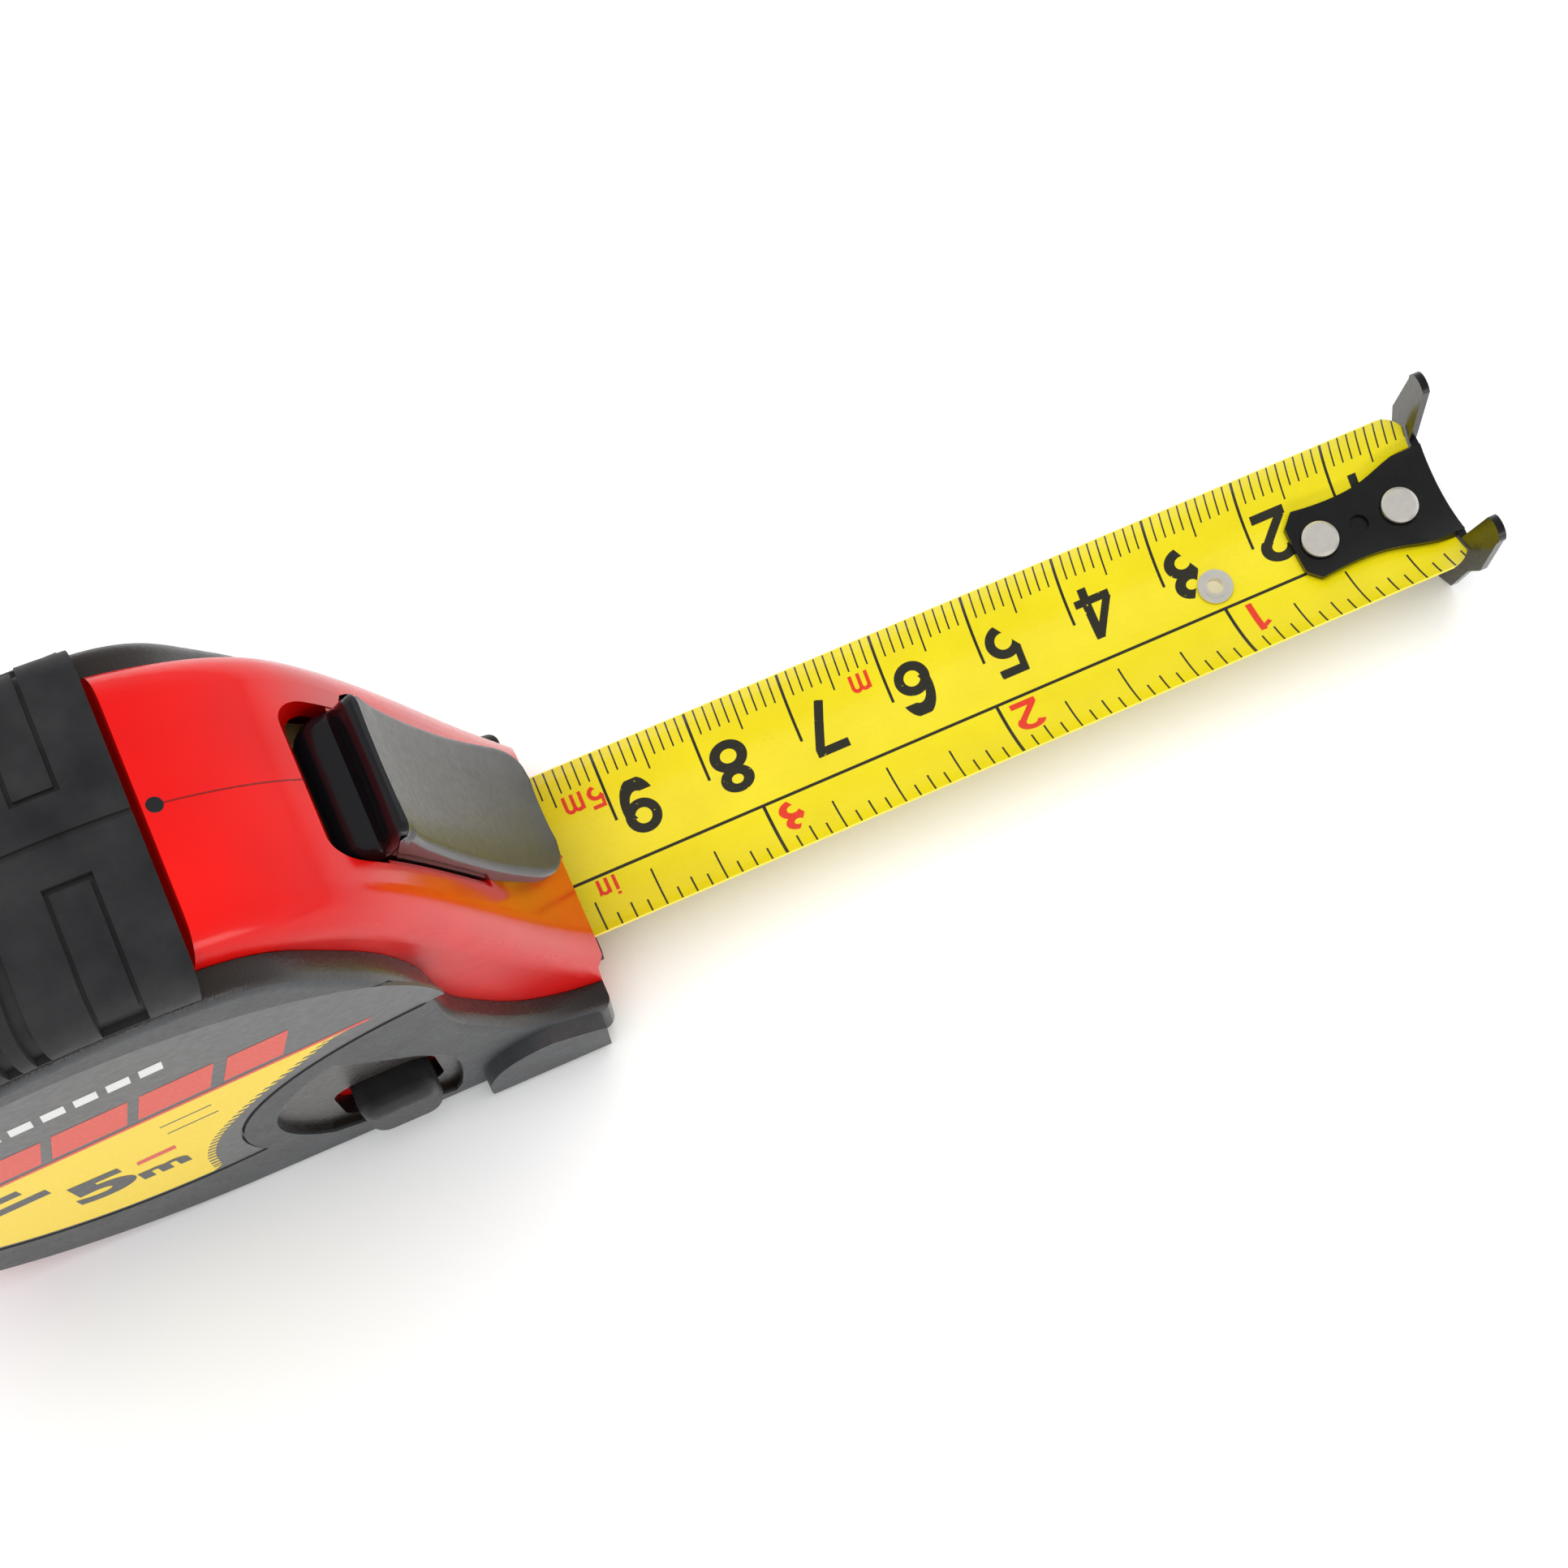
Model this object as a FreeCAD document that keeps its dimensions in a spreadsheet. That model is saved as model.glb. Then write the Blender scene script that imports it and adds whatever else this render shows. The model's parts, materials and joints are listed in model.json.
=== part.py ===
import FreeCAD, Part
import math
import os
import Sketcher

# Pocket tape measure, blade drawn out about 100 mm and locked.
# X runs from the case towards the hook, Y is the case's width, Z is up.
# The origin is on the table, under the reel's axis, in the case's middle plane.

os.makedirs("parts", exist_ok=True)
doc = FreeCAD.newDocument("tape_measure")
V = FreeCAD.Vector

# ---------------------------------------------------------------- dimensions
dims = doc.addObject("Spreadsheet::Sheet", "dims")
SIZES = dict(
    case_radius=39.4,
    axis_height=39.4,
    shell_radius=36.0,
    shell_rim_radius=39.4,
    shell_half_width=12.4,
    shell_wall=1.8,
    cheek_start=12.45,
    cheek_thickness=2.75,
    cheek_radius=35.6,
    label_depth=0.5,
    label_thickness=0.35,
    scoop_depth=0.9,
    foot_rise=1.6,
    jacket_half_width=14.8,
    mouth_half_width=9.9,
    mouth_height=7.5,
    screw_radius=1.3,
    screw_clearance=1.5,
    screw_head_radius=2.3,
    screw_boss_radius=2.4,
    post_radius=3.0,
    reel_bore=3.06,
    reel_radius=20.2,
    spring_chamber=18.8,
    reel_width=18.8,
    coil_radius=25.4,
    coil_width=19.0,
    blade_radius=12.39,
    blade_thickness=0.2,
    blade_arc_width=19.0,
    blade_height=9.0,
    blade_tail=4.0,
    blade_end=134.0,
    hook_thickness=0.8,
    hook_face=134.2,
    rivet_radius=1.0,
    rivet_slot=1.05,
    rivet_head=1.9,
    lever_pin_radius=1.1,
    lever_bore=1.15,
    lever_half_width=6.6,
    lever_slot_half=7.2,
    brake_travel=1.8,
    knob_reach=17.4,
    clip_width=16.0,
    clip_gauge=1.0,
)
for row, (alias, value) in enumerate(SIZES.items(), start=1):
    dims.set("A%d" % row, alias)
    dims.set("B%d" % row, str(value))
    dims.setAlias("B%d" % row, alias)
doc.recompute()
S = SIZES

# ------------------------------------------------------------------- helpers
TURN = {
    "XZ": FreeCAD.Rotation(V(1, 0, 0), 90),
    "YZ": FreeCAD.Rotation(V(1, 1, 1), 120),
    "XY": FreeCAD.Rotation(),
}
NORMAL = {"XZ": -1, "YZ": 1, "XY": 1}
ACROSS = {"XZ": "y", "YZ": "x", "XY": "z"}
nodes = []


def flat(p):
    return V(p[0], p[1], 0)


def outline(start, *moves):
    """A closed run of lines, three-point arcs and smooth curves."""
    run = []
    here = start
    for kind, *points in moves + (("line", start),):
        if kind == "line":
            for p in points:
                if math.dist(here, p) > 1e-6:
                    run.append(Part.LineSegment(flat(here), flat(p)))
                here = p
        elif kind == "arc":
            run.append(Part.Arc(flat(here), flat(points[0]), flat(points[1])))
            here = points[1]
        else:
            curve = Part.BSplineCurve()
            curve.interpolate([flat(p) for p in [here] + points])
            run.append(curve)
            here = points[-1]
    return run


def ring(centre, *radii):
    return [Part.Circle(flat(centre), V(0, 0, 1), r) for r in radii]


def stadium(x0, x1, y0, y1, r):
    """A rectangle with rounded corners."""
    k = r * (1 - math.sqrt(0.5))
    return outline(
        (x0 + r, y0),
        ("line", (x1 - r, y0)),
        ("arc", (x1 - k, y0 + k), (x1, y0 + r)),
        ("line", (x1, y1 - r)),
        ("arc", (x1 - k, y1 - k), (x1 - r, y1)),
        ("line", (x0 + r, y1)),
        ("arc", (x0 + k, y1 - k), (x0, y1 - r)),
        ("line", (x0, y0 + r)),
        ("arc", (x0 + k, y0 + k), (x0 + r, y0)),
    )


def polar(radius, degrees):
    """A point round the reel's axis, in the side view."""
    a = math.radians(degrees)
    return (radius * math.cos(a), S["axis_height"] + radius * math.sin(a))


class Solid:
    """One named piece, built feature by feature in a PartDesign body."""

    def __init__(self, node):
        self.node = node
        self.body = doc.addObject("PartDesign::Body", node)
        self.body.Label = node
        self.steps = 0
        nodes.append((node, self.body))

    def _sketch(self, shapes, plane, at):
        self.steps += 1
        name = "%s_sketch_%d" % (self.node, self.steps)
        sketch = self.body.newObject("Sketcher::SketchObject", name)
        sketch.Placement = FreeCAD.Placement(V(0, 0, 0), TURN[plane])
        for shape in shapes:
            index = sketch.addGeometry(shape, False)
            if isinstance(shape, Part.Circle):
                rule = sketch.addConstraint(Sketcher.Constraint("Radius", index, shape.Radius))
                for alias, value in S.items():
                    if value == shape.Radius and "radius" in alias:
                        sketch.setExpression("Constraints[%d]" % rule, "dims.%s" % alias)
        sketch.setExpression("Placement.Base.%s" % ACROSS[plane], str(at))
        return sketch

    def _feature(self, kind, shapes, plane, at, length, toward):
        sketch = self._sketch(shapes, plane, at)
        name = "%s_%s_%d" % (self.node, kind.lower(), self.steps)
        feature = self.body.newObject("PartDesign::" + kind, name)
        feature.Profile = sketch
        feature.setExpression("Length", str(length))
        same = NORMAL[plane] == toward
        feature.Reversed = same if kind == "Pocket" else not same
        return self

    def pad(self, shapes, plane, at, length, toward=1):
        return self._feature("Pad", shapes, plane, at, length, toward)

    def cut(self, shapes, plane, at, length, toward=1):
        return self._feature("Pocket", shapes, plane, at, length, toward)

    def turn(self, shapes, degrees, start, kind="Revolution"):
        """Revolve a section about the reel's axis; it is drawn with y across and z outwards."""
        self.steps += 1
        sketch = self.body.newObject("Sketcher::SketchObject", "%s_section_%d" % (self.node, self.steps))
        spin = FreeCAD.Rotation(V(0, 1, 0), 90 - start)
        sketch.Placement = FreeCAD.Placement(V(0, 0, S["axis_height"]), spin.multiply(TURN["YZ"]))
        for shape in shapes:
            sketch.addGeometry(shape, False)
        feature = self.body.newObject("PartDesign::" + kind, "%s_turn_%d" % (self.node, self.steps))
        feature.Profile = sketch
        feature.ReferenceAxis = (sketch, ["H_Axis"])
        feature.Angle = degrees
        feature.Reversed = True
        return self

    def soften(self, sizes, choose):
        """Round the edges that choose(edge) accepts, with the first radius that the shape takes."""
        doc.recompute()
        tip = self.body.Tip
        names = ["Edge%d" % n for n, e in enumerate(tip.Shape.Edges, start=1) if choose(e)]
        self.steps += 1
        feature = self.body.newObject("PartDesign::Fillet", "%s_fillet_%d" % (self.node, self.steps))
        feature.Base = (tip, names)
        for size in sizes:
            feature.Radius = size
            doc.recompute()
            if feature.isValid() and not feature.Shape.isNull() and feature.Shape.isValid():
                return self
        print("no rounding fits on", self.node)
        self.body.removeObject(feature)
        doc.removeObject(feature.Name)
        self.body.Tip = tip
        return self


def cylinder(name, radius, height, base, along):
    """A Part cylinder whose radius and height come from the sheet or from a sum of its values."""
    c = doc.addObject("Part::Cylinder", name)
    c.setExpression("Radius", str(radius))
    c.setExpression("Height", str(height))
    c.Placement = FreeCAD.Placement(base, FreeCAD.Rotation(V(0, 0, 1), along))
    return c


def block(name, low, high):
    b = doc.addObject("Part::Box", name)
    b.Length = high[0] - low[0]
    b.Width = high[1] - low[1]
    b.Height = high[2] - low[2]
    b.Placement = FreeCAD.Placement(V(*low), FreeCAD.Rotation())
    return b


def cone(name, r1, r2, height, base, along):
    c = doc.addObject("Part::Cone", name)
    c.Radius1 = r1
    c.Radius2 = r2
    c.Height = height
    c.Placement = FreeCAD.Placement(base, FreeCAD.Rotation(V(0, 0, 1), along))
    return c


def fuse(name, *shapes):
    f = doc.addObject("Part::MultiFuse", name)
    f.Shapes = list(shapes)
    return f


def cut(name, base, tool):
    c = doc.addObject("Part::Cut", name)
    c.Base = base
    c.Tool = tool
    return c


def keep(node, obj):
    obj.Label = node
    nodes.append((node, obj))
    return obj


def centre_of(edge):
    return edge.BoundBox.Center


# ------------------------------------------------------------ side view curves
TOP_START = 76.9
REAR_END = 216.0
JACKET_START = 77.5
JACKET_END = 215.6
GRIPS = [(83.8, 5.9), (139.0, 5.9), (194.2, 5.9)]
GRIPS += [(96.1 + 3.7 * n, 1.9) for n in range(9)]
GRIPS += [(151.3 + 3.7 * n, 1.9) for n in range(9)]
ROOT = math.sqrt(0.5)
NOSE = [(9.2, 77.3), (15.5, 73.6), (20.8, 68.2), (24.4, 61.2), (27.4, 53.0), (31.0, 41.5),
        (34.4, 30.0), (36.6, 23.0), (38.2, 18.2)]
CHEEK_FRONT = [(13.8, 70.2), (16.6, 65.2), (19.2, 59.8), (21.6, 52.2), (22.8, 44.4), (23.2, 37.2),
               (24.1, 30.6), (26.2, 24.2), (29.6, 16.8), (33.5, 12.6), (37.4, 10.6)]
LABEL_CENTRE = (-4.5, 41.5)
LABEL_RADIUS = 28.5
SCOOP_CENTRE = (26.0, 20.0)
SCOOP_RIDGE = 24.9
SCREWS = [(10.5, 68.0), (25.5, 16.4), (-21.0, 64.0), (-22.0, 13.2)]
CLIP_SCREW = (-1.0, 68.2)
LEVER_PIVOT = (24.9, 51.2)


def inward(points, gap):
    """The same curve moved towards the inside of the case."""
    moved = []
    for n, p in enumerate(points):
        a = points[max(n - 1, 0)]
        b = points[min(n + 1, len(points) - 1)]
        run = math.dist(a, b)
        moved.append((p[0] + gap * (b[1] - a[1]) / run, p[1] - gap * (b[0] - a[0]) / run))
    return moved


# ------------------------------------------------------------------ red shells
def shell(node, side):
    r_back = S["shell_radius"]
    r_rim = S["shell_rim_radius"]
    wall = S["shell_wall"]
    outer = outline(
        NOSE[0],
        ("curve", *NOSE[1:]),
        ("line", (38.2, 15.8), (37.4, 14.9), (37.4, 2.0)),
        ("arc", (36.8, 0.6), (35.4, 0.0)),
        ("line", (0.0, 0.0)),
        ("arc", polar(r_rim, 243), polar(r_rim, REAR_END)),
        ("line", polar(r_back, REAR_END)),
        ("arc", polar(r_back, 146), polar(r_back, TOP_START)),
    )
    inner_nose = inward(NOSE, wall)[1:]
    inner = outline(
        inner_nose[0],
        ("curve", *inner_nose[1:]),
        ("line", (35.6, 15.6), (35.6, 2.6), (0.0, 2.6)),
        ("arc", polar(r_rim - wall, 243), polar(r_rim - wall, REAR_END)),
        ("line", polar(r_back - wall, REAR_END)),
        ("arc", polar(r_back - wall, 146), polar(r_back - wall, TOP_START)),
    )
    s = Solid(node)
    s.pad(outer, "XZ", 0, "dims.shell_half_width", side)
    face = side * S["shell_half_width"]
    # the big round along the nose
    s.soften((3.4, 3.0, 2.6), lambda e: abs(centre_of(e).y - face) < 0.01 and e.Length > 30
             and centre_of(e).z > 40 and centre_of(e).x > 15)
    s.cut(inner, "XZ", 0, "dims.shell_half_width - dims.shell_wall", side)
    # posts for the case screws, the lever pin and the clip screw
    bosses = []
    for x, z in SCREWS:
        bosses += ring((x, z), S["screw_boss_radius"])
    s.pad(bosses, "XZ", 0, "dims.shell_half_width - dims.shell_wall / 2", side)
    s.pad(ring(LEVER_PIVOT, 2.2), "XZ", side * 9.65, "dims.shell_half_width - 11.15", side)
    if side > 0:
        s.pad(ring(CLIP_SCREW, 2.6), "XZ", 4.0, "dims.shell_half_width - 4.9", side)
        s.cut(ring(CLIP_SCREW, 1.62), "XZ", 4.5, 12, side)
    bore = S["screw_clearance"] if side > 0 else S["screw_radius"] + 0.02
    depth = "dims.shell_half_width" if side > 0 else 8.6
    holes = []
    for x, z in SCREWS:
        holes += ring((x, z), bore)
    s.cut(holes, "XZ", 0, depth, side)
    s.cut(ring(LEVER_PIVOT, S["lever_pin_radius"] + 0.02), "XZ", side * 9.0, 2.35, side)
    # mouth for the blade
    s.cut(stadium(-1, S["mouth_half_width"], 7.4, 14.9, 0.8) if side > 0 else
          stadium(-S["mouth_half_width"], 1, 7.4, 14.9, 0.8), "YZ", 32, 8, 1)
    # slot for the lock lever, down through the top of the nose
    half = S["lever_slot_half"]
    s.cut(stadium(20.7, 43.0, -half, half, 2.2), "XY", 41.0, 30, 1)
    # slot for the brake knob
    s.cut(stadium(11.2, 19.5, 7.6, 20.4, 2.0), "XZ", side * 9.0, 5, side)
    return s


near_shell = shell("near_shell", -1)
far_shell = shell("far_shell", 1)


# --------------------------------------------------------------- rubber jacket
def jacket():
    half = S["jacket_half_width"]
    r_in = S["shell_radius"] + 0.05
    r_out = S["case_radius"]
    edge = 3.2
    k = edge * (1 - math.sqrt(0.5))
    section = outline(
        (-half, r_in),
        ("line", (-half, r_out - edge)),
        ("arc", (-half + k, r_out - k), (-half + edge, r_out)),
        ("line", (-0.25, r_out), (-0.25, r_out - 0.3), (0.25, r_out - 0.3), (0.25, r_out)),
        ("line", (half - edge, r_out)),
        ("arc", (half - k, r_out - k), (half, r_out - edge)),
        ("line", (half, r_in)),
    )
    s = Solid("rubber_jacket")
    s.turn(section, JACKET_END - JACKET_START, JACKET_START)
    # grip slots each side of the middle, over the top and down the back
    def both_sides(drop, low):
        """Two matching closed sections that follow the jacket's rounded edge."""
        shapes = []
        bend = half - edge
        reach = r_out - edge
        soft = edge - drop
        for side in (-1, 1):
            shapes += outline(
                (side * low, r_out - drop),
                ("line", (side * low, r_out + 1), (side * (half + 1), r_out + 1)),
                ("line", (side * (half + 1), reach), (side * (bend + soft), reach)),
                ("arc", (side * (bend + soft * ROOT), reach + soft * ROOT), (side * bend, r_out - drop)),
            )
        return shapes

    for start, width in GRIPS:
        s.turn(both_sides(0.7, 3.4), width, start, "Groove")
    tongue = []
    soft = edge - 0.25
    for side in (-1, 1):
        tongue += outline(
            (side * 3.9, r_in + 0.3),
            ("line", (side * 3.9, r_out - 0.25), (side * (half - edge), r_out - 0.25)),
            ("arc", (side * (half - edge + soft * 0.5), r_out - edge + soft * math.sqrt(0.75)),
             (side * (half - edge + soft * 0.86), r_out - edge + soft * 0.51)),
            ("line", (side * (half - edge + 1.2), r_in + 0.3)),
        )
    for start, width in GRIPS:
        if width > 4:
            s.turn(tongue, width - 1.2, start + 0.6)
    return s


rubber_jacket = jacket()


# -------------------------------------------------------------- cheeks, labels
def crossing(c1, r1, c2, r2, upper):
    """One of the two points where circles meet."""
    d = math.dist(c1, c2)
    a = (r1 * r1 - r2 * r2 + d * d) / (2 * d)
    h = math.sqrt(r1 * r1 - a * a)
    ux = (c2[0] - c1[0]) / d
    uz = (c2[1] - c1[1]) / d
    k = 1 if upper else -1
    return (c1[0] + a * ux - k * h * uz, c1[1] + a * uz + k * h * ux)


def round_point(centre, radius, degrees):
    a = math.radians(degrees)
    return (centre[0] + radius * math.cos(a), centre[1] + radius * math.sin(a))


def label_outline(grow):
    """A disc with a bite out of it where the finger scoop starts."""
    r = LABEL_RADIUS + grow
    bite = SCOOP_RIDGE - grow
    top = crossing(LABEL_CENTRE, r, SCOOP_CENTRE, bite, True)
    low = crossing(LABEL_CENTRE, r, SCOOP_CENTRE, bite, False)
    rise = LABEL_CENTRE[1] - SCOOP_CENTRE[1]
    run = LABEL_CENTRE[0] - SCOOP_CENTRE[0]
    middle = math.degrees(math.atan2(rise, run))
    return outline(
        top,
        ("arc", round_point(LABEL_CENTRE, r, 170), low),
        ("arc", round_point(SCOOP_CENTRE, bite, middle), top),
    )


FAR_LABEL = ((-3.0, 33.0), 17.0)


def cheek(node, side):
    r = S["cheek_radius"]
    r_rim = S["case_radius"]
    edge = outline(
        polar(r, TOP_START),
        ("curve", *CHEEK_FRONT),
        ("line", (37.4, 1.6)),
        ("arc", (36.93, 0.47), (35.8, 0.0)),
        ("line", (0.0, 0.0)),
        ("arc", polar(r_rim, 243), polar(r_rim, REAR_END + 0.4)),
        ("line", polar(r, REAR_END + 0.4)),
        ("arc", polar(r, 146), polar(r, TOP_START)),
    )
    s = Solid(node)
    start = side * S["cheek_start"]
    face = side * (S["cheek_start"] + S["cheek_thickness"])
    s.pad(edge, "XZ", min(start, face), "dims.cheek_thickness", 1)
    s.soften((1.3, 1.2, 1.1, 1.0, 0.8), lambda e: abs(centre_of(e).y - face) < 0.01)
    # raised foot at the front corner, near side only
    foot = outline(
        (23.4, 1.4),
        ("curve", (23.6, 6.5), (26.0, 11.6), (30.6, 13.6)),
        ("curve", (33.0, 12.2), (36.0, 10.0)),
        ("line", (36.0, 1.4)),
    )
    if side < 0:
        s.pad(foot, "XZ", face - side * 0.5, "dims.foot_rise + 0.5", side)
    # finger scoop, a shallow basin that runs out at the bottom
    ridge = SCOOP_RIDGE - 3.4
    basin = outline(
        round_point(SCOOP_CENTRE, ridge, 214),
        ("arc", round_point(SCOOP_CENTRE, ridge, 172), round_point(SCOOP_CENTRE, ridge, 130)),
        ("curve", (16.0, 30.0), (21.0, 21.5), (21.8, 12.0), (21.0, 5.0)),
        ("line", (20.2, 3.0)),
    )
    s.cut(basin, "XZ", face, "dims.scoop_depth", -side)
    s.cut(stadium(9.9, 20.0, 7.2, 21.0, 3.2), "XZ", start - side * 0.5, 4.5, side)
    # recess for the label
    if side < 0:
        s.cut(label_outline(0.25), "XZ", face, "dims.label_depth", -side)
    else:
        s.cut(ring(FAR_LABEL[0], FAR_LABEL[1] + 0.25), "XZ", face, "dims.label_depth", -side)
        holes = []
        heads = []
        for x, z in SCREWS:
            holes += ring((x, z), S["screw_clearance"])
            heads += ring((x, z), S["screw_head_radius"] + 0.25)
        s.cut(holes, "XZ", start - 0.5, 5, side)
        s.cut(heads, "XZ", face, 1.8, -side)
        s.cut(ring(CLIP_SCREW, 1.75), "XZ", start - 0.5, 5, side)
    return s


near_cheek = cheek("near_cheek", -1)
far_cheek = cheek("far_cheek", 1)
LABEL_FLOOR = S["cheek_start"] + S["cheek_thickness"] - S["label_depth"]

near_label = Solid("near_label")
near_label.pad(label_outline(0), "XZ", -(LABEL_FLOOR + 0.02), "dims.label_thickness", -1)
far_label = Solid("far_label")
far_label.pad(ring(*FAR_LABEL), "XZ", LABEL_FLOOR + 0.02, "dims.label_thickness", 1)


# ------------------------------------------------------------------ reel group
def on_axis(y):
    return V(0, y, S["axis_height"])


Y_AXIS = V(0, 1, 0)
AXIS = (0.0, S["axis_height"])

post = cylinder("post_body", "dims.post_radius", 21.1, on_axis(-10.55), Y_AXIS)
post_slot = block("post_slot", (-0.4, -7.7, S["axis_height"] - 4), (0.4, 12, S["axis_height"] + 4))
keep("arbor_post", cut("arbor_post", post, post_slot))

reel_drum = Solid("reel_drum")
reel_drum.pad(ring(AXIS, S["reel_radius"], S["reel_bore"]), "XZ", -9.4, 1.0, 1)
reel_drum.pad(ring(AXIS, S["reel_radius"], S["spring_chamber"]), "XZ", -9.4, 17.7, 1)
reel_drum.cut(stadium(-0.6, 0.6, S["axis_height"] + 17, S["axis_height"] + 21, 0.4), "XZ", -7.6, 15.2, 1)

reel_cover = Solid("reel_cover")
reel_cover.pad(ring(AXIS, S["reel_radius"], S["reel_bore"]), "XZ", 8.35, 1.05, 1)
openings = []
for k in range(6):
    openings += ring(polar(11.5, 60 * k), 2.6)
reel_cover.cut(openings, "XZ", 8, 2, 1)

blade_coil = Solid("blade_coil")
blade_coil.pad(ring(AXIS, S["coil_radius"], S["reel_radius"] + 0.05), "XZ", "-dims.coil_width / 2",
               "dims.coil_width", 1)


def spiral(r0, r1, turns, gauge):
    """A flat clock spring: two spirals, one gauge apart, closed at their ends."""
    count = int(turns * 16)
    inner = []
    outer = []
    for n in range(count + 1):
        a = 2 * math.pi * turns * n / count
        r = r0 + (r1 - r0) * n / count
        inner.append((AXIS[0] + r * math.cos(a), AXIS[1] + r * math.sin(a)))
        outer.append((AXIS[0] + (r + gauge) * math.cos(a), AXIS[1] + (r + gauge) * math.sin(a)))
    outer.reverse()
    return outline(inner[0], ("curve", *inner[1:]), ("line", outer[0]), ("curve", *outer[1:]))


main_spring = Solid("main_spring")
main_spring.pad(spiral(3.6, 18.3, 9.25, 0.3), "XZ", -7.6, 15.2, 1)

washers = []
for side in (-1, 1):
    base = on_axis(9.55 if side > 0 else -10.15)
    disc = cylinder("washer_disc_%d" % (side + 2), 6.0, 0.6, base, Y_AXIS)
    hole = cylinder("washer_hole_%d" % (side + 2), "dims.reel_bore", 0.6, base, Y_AXIS)
    washers.append(cut("washer_%d" % (side + 2), disc, hole))
keep("reel_washers", fuse("reel_washers", *washers))

# ------------------------------------------------------------- blade and hook
ARC_CENTRE = S["blade_height"] + S["blade_radius"]
ARC_HALF = S["blade_arc_width"] / 2 / (S["blade_radius"] - S["blade_thickness"] / 2)


def trough(r_low, r_high, half_angle):
    """Cross-section of the curved strip between two radii about the same centre."""
    def at(r, a):
        return (r * math.sin(a), ARC_CENTRE - r * math.cos(a))
    return outline(
        at(r_low, -half_angle),
        ("arc", at(r_low, 0), at(r_low, half_angle)),
        ("line", at(r_high, half_angle)),
        ("arc", at(r_high, 0), at(r_high, -half_angle)),
    )


RIVETS = (121.3, 130.3)
blade_strip = Solid("blade_strip")
blade_strip.pad(trough(S["blade_radius"], S["blade_radius"] - S["blade_thickness"], ARC_HALF), "YZ",
                "dims.blade_tail", "dims.blade_end - dims.blade_tail", 1)
for side in (-1, 1):
    corner = outline((134.5, side * 6.4), ("line", (134.5, side * 9.5), (131.6, side * 9.5)),
                     ("line", (131.6, side * 8.6)), ("curve", (133.3, side * 7.9), (134.5, side * 6.4)))
    blade_strip.cut(corner, "XY", 5, 12, 1)
punched = ring((109.7, 0), 1.25)
for x in RIVETS:
    punched += ring((x, 0), S["rivet_radius"] + 0.05)
blade_strip.cut(punched, "XY", 5, 12, 1)

Z_AXIS = V(0, 0, 1)
rivets = []
for n, x in enumerate(RIVETS):
    shank = cylinder("rivet_shank_%d" % n, "dims.rivet_radius", 2.3, V(x, 0, 8.4), Z_AXIS)
    head = cylinder("rivet_head_%d" % n, "dims.rivet_head", 0.35, V(x, 0, 10.42), Z_AXIS)
    top = S["rivet_head"]
    crown = cone("rivet_crown_%d" % n, top, top - 0.3, 0.2, V(x, 0, 10.77), Z_AXIS)
    foot = cylinder("rivet_foot_%d" % n, 1.7, 0.55, V(x, 0, 8.38), Z_AXIS)
    rivets.append(fuse("rivet_%d" % n, shank, head, crown, foot))
keep("hook_rivets", fuse("hook_rivets", *rivets))

eyelet = fuse("eyelet_body",
              cylinder("eyelet_tube", 1.2, 1.1, V(109.7, 0, 8.65), Z_AXIS),
              cylinder("eyelet_top", 1.8, 0.3, V(109.7, 0, 9.36), Z_AXIS),
              cylinder("eyelet_foot", 1.8, 0.3, V(109.7, 0, 8.65), Z_AXIS))
eyelet_bore = cylinder("eyelet_bore", 0.85, 3, V(109.7, 0, 8), Z_AXIS)
keep("blade_grommet", cut("blade_grommet", eyelet, eyelet_bore))

end_hook = Solid("end_hook")
NECK_LOW = S["blade_radius"] - S["blade_thickness"] - 0.06
NECK_HIGH = NECK_LOW - S["hook_thickness"]
end_hook.pad(trough(NECK_LOW, NECK_HIGH, math.asin(5.3 / NECK_LOW)), "YZ", 118.6,
             "dims.hook_face + dims.hook_thickness - 118.6", 1)
for side in (-1, 1):
    waste = outline(
        (118.0, side * 2.3),
        ("line", (118.6, side * 2.5), (119.8, side * 3.8)),
        ("curve", (124.0, side * 3.5), (127.5, side * 3.8), (131.0, side * 4.8), (135.6, side * 5.1)),
        ("line", (135.6, side * 8.0), (118.0, side * 8.0)),
    )
    end_hook.cut(waste, "XY", 5, 12, 1)
slots = []
for x in RIVETS:
    r = S["rivet_slot"]
    back = x - S["hook_thickness"] - 0.02
    slots += outline((back, -r), ("line", (x, -r)), ("arc", (x + r, 0), (x, r)),
                     ("line", (back, r)), ("arc", (back - r, 0), (back, -r)))
end_hook.cut(slots, "XY", 5, 12, 1)
end_hook.cut(ring((125.8, 0), 1.0), "XY", 9.6, 12, 1)


def hook_face():
    """The end plate: a lip below, and an ear each side above."""
    def half(s):
        return [(s * 6.0, 0.0), (s * 7.9, 1.9), (s * 8.6, 8.4), (s * 9.7, 11.4), (s * 9.5, 19.0)]
    right = half(1)
    left = half(-1)
    sag = ARC_CENTRE - NECK_HIGH
    dip = ARC_CENTRE - math.sqrt(NECK_HIGH ** 2 - 25.0)
    return outline(
        left[0],
        ("line", *right),
        ("arc", (8.5, 20.9), (7.0, 20.3)),
        ("line", (5.9, 12.3), (5.75, 11.0), (5.0, 11.0), (5.0, dip)),
        ("arc", (0, sag), (-5.0, dip)),
        ("line", (-5.0, 11.0), (-5.75, 11.0), (-5.9, 12.3), (-7.0, 20.3)),
        ("arc", (-8.5, 20.9), left[4]),
        ("line", left[3], left[2], left[1]),
    )


end_hook.pad(hook_face(), "YZ", "dims.hook_face", "dims.hook_thickness", 1)

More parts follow.
